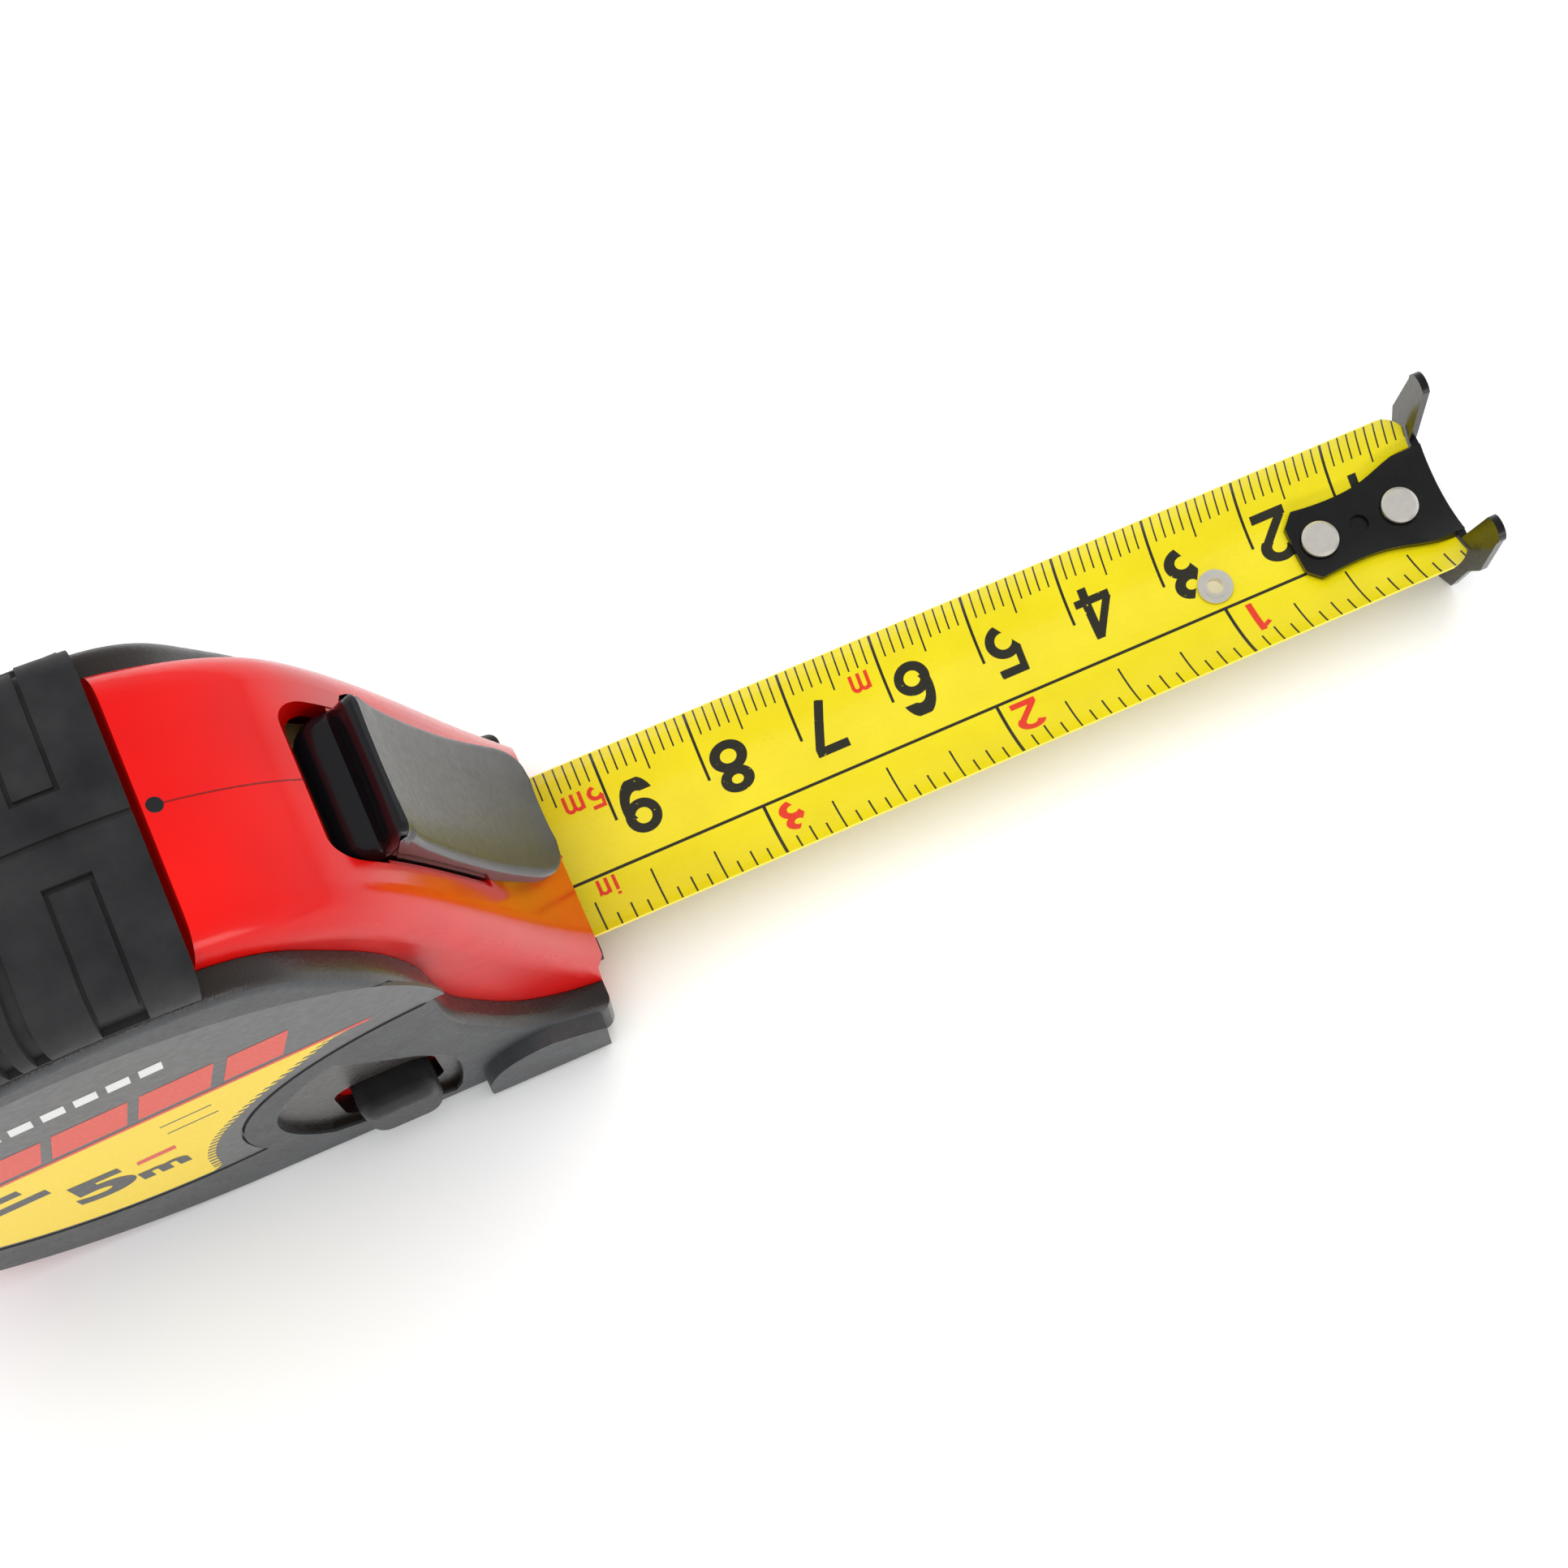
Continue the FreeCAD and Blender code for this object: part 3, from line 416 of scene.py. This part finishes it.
def blade_print(blade_piece):
    """Yellow lacquer with a millimetre scale, an inch scale and their figures, in the blade's own place."""
    p = Paint("blade_scale", (0.72, 0.60, 0.006), 0.3)
    place = p.tree.nodes.new("ShaderNodeTexCoord")
    place.object = blade_piece
    split = p.tree.nodes.new("ShaderNodeSeparateXYZ")
    p.tree.links.new(place.outputs["Object"], split.inputs[0])
    u = Sum(p.tree, split.outputs[0]) * -1000.0 + ZERO_X
    y = Sum(p.tree, split.outputs[1]) * 1000.0
    s = (y / (BLADE_R - BLADE_T)).arcsine() * (BLADE_R - BLADE_T)
    lines = scale_lines(u, s)
    marks, red = scale_figures(u, s)

    worn = Sum(p.tree, p.noise(0.36, 3)).below(0.72)
    black = lines.high(marks * (red * -1.0 + 1.0) * worn)
    red = marks * red * worn
    lacquer = p.mottle(7, 4, (0.66, 0.55, 0.003), (0.72, 0.61, 0.006))
    smudge = p.ramp(p.noise(2.2, 5, 0.7), [(0.66, 0.0), (0.80, 0.45)])
    lacquer = p.mix(smudge, lacquer, (0.42, 0.35, 0.02))
    colour = p.mix(black.value, lacquer, (0.018, 0.017, 0.010))
    colour = p.mix(red.value, colour, (0.62, 0.035, 0.012))
    edge = s.below(-9.42).high(s.above(9.42))
    p.link(p.mix(edge.value, colour, (0.72, 0.71, 0.64)), "Base Color")
    p.link(p.spread(p.noise(0.5, 4, stretch=(0.3, 1, 1)), 0.2, 0.36), "Roughness")
    p.bump(p.noise(0.35, 3), 0.004)
    p.bump(p.noise(5, 2), 0.02)
    return p.mat


def ink(name, colour):
    p = Paint(name, colour, 0.42)
    speck = p.ramp(p.noise(0.35, 3), [(0.62, 0.0), (0.72, 1.0)])
    light = tuple(min(1.0, c + 0.12) for c in colour)
    p.link(p.mix(speck, colour, light), "Base Color")
    p.link(p.spread(p.noise(0.4, 2), 0.35, 0.5), "Roughness")
    return p.mat


def black_steel():
    p = Paint("hook_black", (0.004, 0.004, 0.004), 0.26)
    p.link(p.mix(p.noise(1.5, 4), (0.002, 0.002, 0.002), (0.008, 0.008, 0.008)), "Base Color")
    p.link(p.spread(p.noise(0.5, 4), 0.16, 0.34), "Roughness")
    p.bump(p.noise(0.5, 3), 0.01)
    return p.mat


def bright_metal(name, colour, rough, grain=(1, 1, 1), depth=0.006, metal=1.0):
    p = Paint(name, colour, rough, metallic=metal)
    p.link(p.mix(p.noise(1.0, 4), tuple(c * 0.85 for c in colour), tuple(min(1, c * 1.1) for c in colour)),
           "Base Color")
    p.link(p.spread(p.noise(0.3, 4, stretch=grain), rough * 0.75, rough * 1.4), "Roughness")
    p.bump(p.noise(0.2, 3, stretch=grain), depth)
    return p.mat


def nylon():
    p = Paint("nylon", (0.62, 0.60, 0.54), 0.5)
    p.link(p.mix(p.noise(4, 4), (0.56, 0.54, 0.48), (0.68, 0.66, 0.60)), "Base Color")
    p.link(p.spread(p.noise(1, 4), 0.4, 0.6), "Roughness")
    p.bump(p.noise(0.4, 3), 0.01)
    return p.mat


def label_film():
    p = Paint("label_film", (0.060, 0.060, 0.062), 0.36)
    p.link(p.mix(p.noise(3, 5), (0.048, 0.048, 0.050), (0.078, 0.078, 0.080)), "Base Color")
    p.link(p.spread(p.noise(0.9, 4), 0.28, 0.5), "Roughness")
    p.bump(p.noise(1.4, 3), 0.01)
    return p.mat


def coil_paint():
    """The wound blade: fine rings of its edge show on the sides."""
    p = Paint("coil_turns", (0.8, 0.64, 0.02), 0.4)
    x, _, z = p.xyz()
    up = z - AXIS_Z
    radius = (x * x + up * up).root()
    turn = radius.mod(0.16) / 0.16
    steel_to_yellow = [(0.0, (0.30, 0.30, 0.30)), (0.35, (0.55, 0.53, 0.48)), (1.0, (0.82, 0.66, 0.03))]
    p.link(p.ramp(turn.value, steel_to_yellow), "Base Color")
    p.bump(turn.value, 0.02)
    return p.mat


MATS = {
    "red_plastic": red_gloss(),
    "black_rubber": rubber(),
    "grey_plastic": grey_plastic(),
    "nylon": nylon(),
    "steel": bright_metal("zinc_steel", (0.56, 0.56, 0.57), 0.3, (1, 1, 6)),
    "spring_steel": bright_metal("blued_steel", (0.22, 0.24, 0.28), 0.3, (1, 6, 1)),
    "yellow_blade": blade_yellow(),
    "nickel": bright_metal("nickel", (0.80, 0.77, 0.71), 0.34, depth=0.003, metal=0.72),
    "black_steel": black_steel(),
    "black_gloss": gloss_black(),
    "grey_pad": satin_pad(),
    "black_plastic": satin_black(),
    "printed_label": label_film(),
}
slots = {row["node"]: row["material_slot"] for row in frame["record"]["subparts"]}
for node, obj in frame["nodes"].items():
    obj.data.materials.clear()
    obj.data.materials.append(MATS[slots[node]])
    obj.data.shade_smooth()
    obj.data.set_sharp_from_angle(angle=math.radians(28))
frame["nodes"]["blade_coil"].data.materials[0] = coil_paint()


# ------------------------------------------------------------------ mesh helpers
def piece(name, points, faces, materials, body="case", smooth=30, slots_of=None):
    """A mesh from points in millimetres in the row frame."""
    mesh = bpy.data.meshes.new(name)
    mesh.from_pydata([Vector(v) * MM for v in points], [], faces)
    for material in materials:
        mesh.materials.append(material)
    if slots_of:
        for polygon, index in zip(mesh.polygons, slots_of):
            polygon.material_index = index
    mesh.validate()
    skin = bmesh.new()
    skin.from_mesh(mesh)
    bmesh.ops.recalc_face_normals(skin, faces=skin.faces)
    skin.to_mesh(mesh)
    skin.free()
    mesh.shade_smooth()
    mesh.set_sharp_from_angle(angle=math.radians(smooth))
    obj = bpy.data.objects.new(name, mesh)
    bpy.context.collection.objects.link(obj)
    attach(obj, body)
    return obj


def loft(rings, closed=True, caps=True):
    """Points and faces of a skin over equal rings."""
    points = [v for r in rings for v in r]
    size = len(rings[0])
    faces = []
    for n in range(len(rings) - 1):
        for k in range(size if closed else size - 1):
            j = (k + 1) % size
            faces.append((n * size + k, n * size + j, (n + 1) * size + j, (n + 1) * size + k))
    if caps:
        faces.append(tuple(range(size)))
        faces.append(tuple(range(len(points) - size, len(points))))
    return points, faces


def along(points, steps):
    """Points evenly between the given ones, on a smooth curve through them."""
    run = []
    last = len(points) - 1
    for n in range(last):
        before, a, b, after = points[max(n - 1, 0)], points[n], points[n + 1], points[min(n + 2, last)]
        for k in range(steps):
            t = k / steps
            run.append(tuple(0.5 * (2 * q + (r - p) * t + (2 * p - 5 * q + 4 * r - s) * t * t
                                    + (3 * q - p - 3 * r + s) * t ** 3)
                             for p, q, r, s in zip(before, a, b, after)))
    return run + [tuple(points[-1])]


# ------------------------------------------------------------------------- blade
BLADE_START = 4.0      # the hidden end of the blade, X in mm
CUT_STEP = 2.4
CUTS = 53
plain_back = blade_yellow()
strip = bmesh.new()
strip.from_mesh(frame["nodes"]["blade_strip"].data)
for n in range(1, CUTS + 1):
    bmesh.ops.bisect_plane(strip, geom=strip.verts[:] + strip.edges[:] + strip.faces[:],
                           plane_co=((BLADE_START + n * CUT_STEP) * MM, 0, 0), plane_no=(1, 0, 0))
tape = bpy.data.meshes.new("printed_tape")
strip.to_mesh(tape)
strip.free()
tape.materials.clear()
tape.materials.append(blade_print(frame["bodies"]["blade"]))
tape.materials.append(plain_back)
for polygon in tape.polygons:
    centre = polygon.center / MM
    toward = Vector((0, -centre.y, BLADE_BOTTOM + BLADE_R - centre.z))
    polygon.material_index = 0 if polygon.normal.dot(toward.normalized()) > 0.7 else 1
tape.shade_smooth()
tape.set_sharp_from_angle(angle=math.radians(40))
tape_obj = bpy.data.objects.new("printed_tape", tape)
bpy.context.collection.objects.link(tape_obj)
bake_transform(tape_obj)
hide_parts("blade_strip")


# ------------------------------------------------------------------------- lever
LEVER_HALF = 6.6
# X, Z and half width of the rear stations, and the point inside the lever that closes them
REAR = [(19.9, 57.0, 4.3), (20.0, 60.3, 4.5), (20.3, 61.7, 4.9), (20.9, 62.5, 5.5), (21.8, 62.9, 6.05),
        (23.0, 63.0, 6.5), (24.1, 62.85, 6.6), (24.2, 62.95, 6.42), (24.3, 63.4, 6.4), (25.2, 64.4, 6.45),
        (25.9, 64.95, 6.5), (26.5, 65.05, 6.5)]
REAR_INNER = (22.4, 57.2)
# X and Z of the top, then X and Z of the inner point under it
CREST_TO_FRONT = [(26.95, 64.75, 24.3, 57.0), (27.45, 61.9, 24.6, 55.6), (28.1, 58.6, 25.4, 52.8),
                  (30.0, 51.4, 28.0, 47.9), (32.9, 42.6, 31.3, 40.6), (36.2, 35.0, 34.9, 33.4),
                  (38.1, 31.6, 37.2, 30.6)]
EDGE_ROUND = 0.8
EDGE_ROUND_CREST = 1.25
FRONT_STEPS = 8       # stations over which the front corners round off
CORNER = 2.7          # radius of the front corners, mm


def lever_stations():
    """Top point, half width and inner point of each station, from the skirt over the crest to the front."""
    stations = [(x, z, wide, *REAR_INNER) for x, z, wide in REAR]
    path = along(CREST_TO_FRONT, 7)
    for n, (x, z, xi, zi) in enumerate(path):
        left = min(1.0, (len(path) - 1 - n) / FRONT_STEPS)
        wide = LEVER_HALF - CORNER * (1 - math.sqrt(1 - (1 - left) ** 2))
        stations.append((x, z, wide, xi, zi))
    return stations


def lever_mesh():
    """Rows across the lever, one at each station, with rounded edges and a dished top."""
    stations = lever_stations()
    last = len(stations) - 1
    crest = len(REAR)
    edge = ((0.0, 1.0), (0.08, 0.6), (0.3, 0.28), (0.62, 0.08), (1.0, 0.0))    # lean in, drop, in radii
    rows = []
    for n, (x, z, wide, xi, zi) in enumerate(stations):
        ax, az = stations[max(n - 1, 0)][:2]
        bx, bz = stations[min(n + 1, last)][:2]
        run = math.hypot(bx - ax, bz - az)
        nx, nz = -(bz - az) / run, (bx - ax) / run
        r = EDGE_ROUND_CREST if 4 < n < crest + 4 else EDGE_ROUND
        half = [(xi, -wide + 0.1, zi)]
        half += [(x - nx * drop * r, -wide + lean * r, z - nz * drop * r) for lean, drop in edge]
        half.append((x - nx * 0.12, -wide * 0.45, z - nz * 0.12))
        middle = [(x - nx * 0.16, 0, z - nz * 0.16)]
        rows.append(half + middle + [(px, -y, pz) for px, y, pz in reversed(half)])
    size = len(rows[0])
    points, faces = loft(rows)
    marks = [int(n >= crest and 3 <= k <= size - 5) for n in range(last) for k in range(size)]
    return points, faces, marks + [0, 0]


points, faces, marks = lever_mesh()
thumb = piece("thumb_lever", points, faces, [MATS["black_gloss"], MATS["grey_pad"]], "lever", 38, marks)
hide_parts("lock_lever", "lever_pad")

# ------------------------------------------------------------------ label prints
LABEL_FACE = 15.075          # |Y| of the labels' outer faces, mm
LABEL_MIDDLE = (-4.5, 41.5)  # X and Z
LABEL_PRINT_R = 27.9
LABEL_LEFT = -32.0           # X of the printed band's rear end
FAR_MIDDLE = (-3.0, 33.0)
FAR_PRINT_R = 15.5
LABEL_YELLOW = ink("label_yellow", (0.87, 0.62, 0.0))
LABEL_RED = ink("label_red", (0.66, 0.045, 0.018))
LABEL_WHITE = ink("label_white", (0.72, 0.72, 0.70))
LABEL_DARK = ink("label_dark", (0.035, 0.035, 0.037))


def decal(name, shapes, side=-1):
    """Flat printed shapes on a label: each is a material and its outline in X and Z."""
    for n, (material, corners) in enumerate(shapes):
        y = side * (LABEL_FACE + 0.008 + 0.008 * (material is not LABEL_YELLOW))
        piece("%s_%d" % (name, n), [(x, y, z) for x, z in corners], [tuple(range(len(corners)))], [material])


def tilt(x, rise):
    """The band's edges climb a little towards the front."""
    return (x, 45.5 + 0.1 * x + rise)


def band(x0, x1, low, high, lean=0.0):
    """A slanted bar between two heights above the band."""
    return [tilt(x0, low), tilt(x1, low), tilt(x1 + lean, high), tilt(x0 + lean, high)]


def label_turn(point):
    """The angle of a point seen from the label's middle."""
    return math.degrees(math.atan2(point[1] - LABEL_MIDDLE[1], point[0] - LABEL_MIDDLE[0]))


def round_points(middle, radius, start, end, steps):
    """Points on a circle from one angle up to the other, without the last."""
    turns = [math.radians(start + (end - start) * n / steps) for n in range(steps)]
    return [(middle[0] + radius * math.cos(a), middle[1] + radius * math.sin(a)) for a in turns]


# the yellow field, with teeth along its front edge
SAW = [(13.9, 46.2), (10.4, 42.0), (5.8, 36.6), (2.2, 31.2), (-0.2, 26.4), (-1.7, 20.7), (-2.2, 14.8)]
TOOTH = 0.8
field = [tilt(LABEL_LEFT, -0.35), tilt(15.4, -0.35)]
edge_run = along(SAW, 5)
for (x, z), (x2, z2) in zip(edge_run, edge_run[1:]):
    mx, mz = (x + x2) / 2, (z + z2) / 2
    field += [(x, z), (mx, mz), (mx - TOOTH, mz + 0.1), (x2 - TOOTH, z2 + 0.1)]
field.append(edge_run[-1])
field += round_points(LABEL_MIDDLE, LABEL_PRINT_R, label_turn(SAW[-1]), label_turn(field[0]) - 360, 40)[1:]
stripe = [tilt(LABEL_LEFT, -0.3), tilt(17.0, -0.3), tilt(17.6, 0.45), tilt(LABEL_LEFT, 0.45)]

# plain bars where the words would be
bars = []
for x0, x1, high in ((-26.5, -21.0, 8.32), (-20.0, -12.4, 8.82), (-11.4, -4.6, 9.02), (-3.6, 3.0, 9.02),
                     (4.2, 9.6, 8.82)):
    bars.append((LABEL_RED, band(x0, x1, 1.4, high, 1.8)))
for n in range(8):
    x0 = -20 + n * 2.8
    bars.append((LABEL_WHITE, band(x0, x0 + 2.0, 14.6, 17.0, 0.3)))
for x0, x1, low, high in ((-27.0, -16.2, -6.2, -4.0), (-26.6, -14.6, -10.6, -8.2),
                          (-3.0, 1.8, -5.0, -4.65), (-3.0, 1.8, -8.4, -8.05)):
    bars.append((LABEL_DARK, band(x0, x1, low, high)))
bars.append((LABEL_RED, [(-7.4, 29.6), (-3.6, 30.0), (-3.5, 31.5), (-7.2, 31.1)]))
decal("near_field", [(LABEL_YELLOW, field)])
decal("near_stripe", [(LABEL_RED, stripe)])
decal("near_bars", bars)
decal("far_field", [(LABEL_YELLOW, round_points(FAR_MIDDLE, FAR_PRINT_R, 0, 360, 60))], 1)


def figures(name, text, size, place, side=-1):
    """Plain sans figures laid flat on a label, about a point in X and Z."""
    curve = bpy.data.curves.new(name, "FONT")
    curve.body = text
    curve.size = size * MM
    curve.offset = 0.045 * size * MM
    curve.align_x = "CENTER"
    curve.align_y = "CENTER"
    source = bpy.data.objects.new(name + "_source", curve)
    bpy.context.collection.objects.link(source)
    bpy.context.view_layer.update()
    mesh = bpy.data.meshes.new_from_object(source)
    bpy.data.objects.remove(source)
    mesh.materials.clear()
    mesh.materials.append(LABEL_DARK)
    mesh.name = name
    spin = Matrix.Rotation(math.radians(90), 4, "X")
    if side > 0:
        spin = Matrix.Rotation(math.radians(180), 4, "Z") @ spin
    middle = Vector((place[0], side * (LABEL_FACE + 0.03), place[1])) * MM
    mesh.transform(Matrix.Translation(middle) @ spin)
    obj = bpy.data.objects.new(name, mesh)
    bpy.context.collection.objects.link(obj)
    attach(obj, "case")


figures("near_length", "5", 12.0, (-11.2, 27.0))
figures("near_unit", "m", 6.2, (-5.9, 24.9))
figures("far_length", "5 m", 11, FAR_MIDDLE, 1)

# ----------------------------------------------------------------- small details
def over_shell(x, y, lift):
    """The point of the shell's top at X and Y, lifted off it a little."""
    node = "near_shell" if y <= 0 else "far_shell"
    inside = min(y, -0.03) if y <= 0 else max(y, 0.03)
    hit, normal, _, _ = SKIN[node].ray_cast(Vector((x, inside, 90)) * MM, Vector((0, 0, -1)))
    hit = (hit + normal * lift * MM) / MM
    return (hit.x, y, hit.z)


SKIN = {}
for node in ("near_shell", "far_shell"):
    mesh = frame["nodes"][node].data
    SKIN[node] = BVHTree.FromPolygons([v.co for v in mesh.vertices], [f.vertices for f in mesh.polygons])
# the parting line along the top where the two shells meet, drawn as a thin dark red strip laid over them:
# its darkness is painted shade of the narrow gap between the shells
SEAM_START = 10.7
SEAM_STEP = 0.37
seam = []
for n in range(28):
    x = SEAM_START + SEAM_STEP * n
    seam.append([over_shell(x, -0.07, 0.02), over_shell(x, 0.07, 0.02)])
points, faces = loft(seam, closed=False, caps=False)
# painted shade: the darker red stands for the shade in the gap between the shells
piece("parting_line_shade", points, faces, [ink("seam_gap_shade", (0.20, 0.002, 0.001))])

# the slot's edge turns inwards beside the lever
for side in (-1, 1):
    lip = []
    for n in range(25):
        x, _, z = over_shell(24.4 + 0.3 * n, side * 7.35, -0.12)
        lip.append([(x, side * 7.5, z - 1.2), (x, side * 7.3, z), (x - 0.05, side * 6.74, z - 0.15),
                    (x - 0.3, side * 6.74, z - 1.2)])
    points, faces = loft(lip)
    piece("slot_lip_far" if side > 0 else "slot_lip_near", points, faces, [MATS["red_plastic"]])

# small vent at the jacket's edge
VENT_X = 10.15
rim = []
for radius, lift in ((0.66, 0.0), (0.60, 0.06), (0.30, 0.05), (0.05, 0.04)):
    turns = [math.radians(20 * n) for n in range(18)]
    rim.append([over_shell(VENT_X + radius * math.cos(a), radius * math.sin(a), lift) for a in turns])
points, faces = loft(rim)
piece("vent", points, faces, [MATS["black_plastic"]])

# softened edges on the CAD pieces that are seen close to
for node, width in (("end_hook", 0.16), ("hook_rivets", 0.12), ("blade_grommet", 0.1), ("belt_clip", 0.15),
                    ("near_cheek", 0.2), ("far_cheek", 0.2), ("mouth_bumper", 0.2)):
    soft = frame["nodes"][node].modifiers.new("soft_edge", "BEVEL")
    soft.width = width * MM
    soft.segments = 2
    soft.limit_method = "ANGLE"
    soft.angle_limit = math.radians(40)
    soft.harden_normals = False

# ---------------------------------------------------------- floor, light, camera
FLOOR_REACH = 12.0
floor = bpy.data.meshes.new("floor")
corners = [(x * FLOOR_REACH, y * FLOOR_REACH, 0) for x, y in ((-1, -1), (1, -1), (1, 1), (-1, 1))]
floor.from_pydata(corners, [], [(0, 1, 2, 3)])
floor_obj = bpy.data.objects.new("floor", floor)
bpy.context.collection.objects.link(floor_obj)
floor_obj.location.z = -0.00005
white = Paint("floor_white", (0.93, 0.93, 0.93), 0.7)
white.link(white.mix(white.noise(400, 2), (0.92, 0.92, 0.92), (0.94, 0.94, 0.94)), "Base Color")
floor.materials.append(white.mat)


def softbox(name, place, aim, size, power):
    lamp = bpy.data.lights.new(name, "AREA")
    lamp.shape = "RECTANGLE"
    lamp.size, lamp.size_y = size
    lamp.energy = power
    obj = bpy.data.objects.new(name, lamp)
    bpy.context.collection.objects.link(obj)
    obj.location = place
    obj.rotation_euler = (Vector(aim) - Vector(place)).to_track_quat("-Z", "Y").to_euler()
    return obj


OBJECT_MIDDLE = (0.05, 0, 0.02)
softbox("front", (0.10, -0.85, 0.25), OBJECT_MIDDLE, (1.1, 0.25), 2.0)
over = softbox("over", (0.02, 0.10, 0.85), OBJECT_MIDDLE, (0.9, 0.9), 9.6)
over.visible_glossy = False

# a bright room round the object with a darker ceiling
ROOM_WALL = (0.80, 0.81, 0.83, 1)
ROOM_CEILING = (0.30, 0.305, 0.31, 1)
world = bpy.data.worlds.new("studio")
bpy.context.scene.world = world
world.use_nodes = True
sky = world.node_tree
where = sky.nodes.new("ShaderNodeTexCoord")
axes = sky.nodes.new("ShaderNodeSeparateXYZ")
sky.links.new(where.outputs["Generated"], axes.inputs[0])
fade = sky.nodes.new("ShaderNodeValToRGB")
low_stop, high_stop = fade.color_ramp.elements
low_stop.color = ROOM_WALL
high_stop.position = 0.85
high_stop.color = ROOM_CEILING
sky.links.new(axes.outputs[2], fade.inputs["Fac"])
sky.links.new(fade.outputs["Color"], sky.nodes["Background"].inputs["Color"])
bpy.context.scene.view_settings.view_transform = "Standard"

# the camera stands over the near side and looks down on the blade
camera = bpy.data.cameras.new("camera")
camera.sensor_width = 36
camera.lens = 68.05
camera.clip_start = 0.01
camera_obj = bpy.data.objects.new("camera", camera)
bpy.context.collection.objects.link(camera_obj)
right = Vector((0.91456, -0.40445, 0.00192))
up = Vector((0.39029, 0.88375, 0.25818))
back = Vector((-0.10611, -0.23537, 0.96610))
turn = Matrix((right, up, back)).transposed().to_4x4()
camera_obj.matrix_world = Matrix.Translation((0.03043, -0.07036, 0.29308)) @ turn
bpy.context.scene.camera = camera_obj
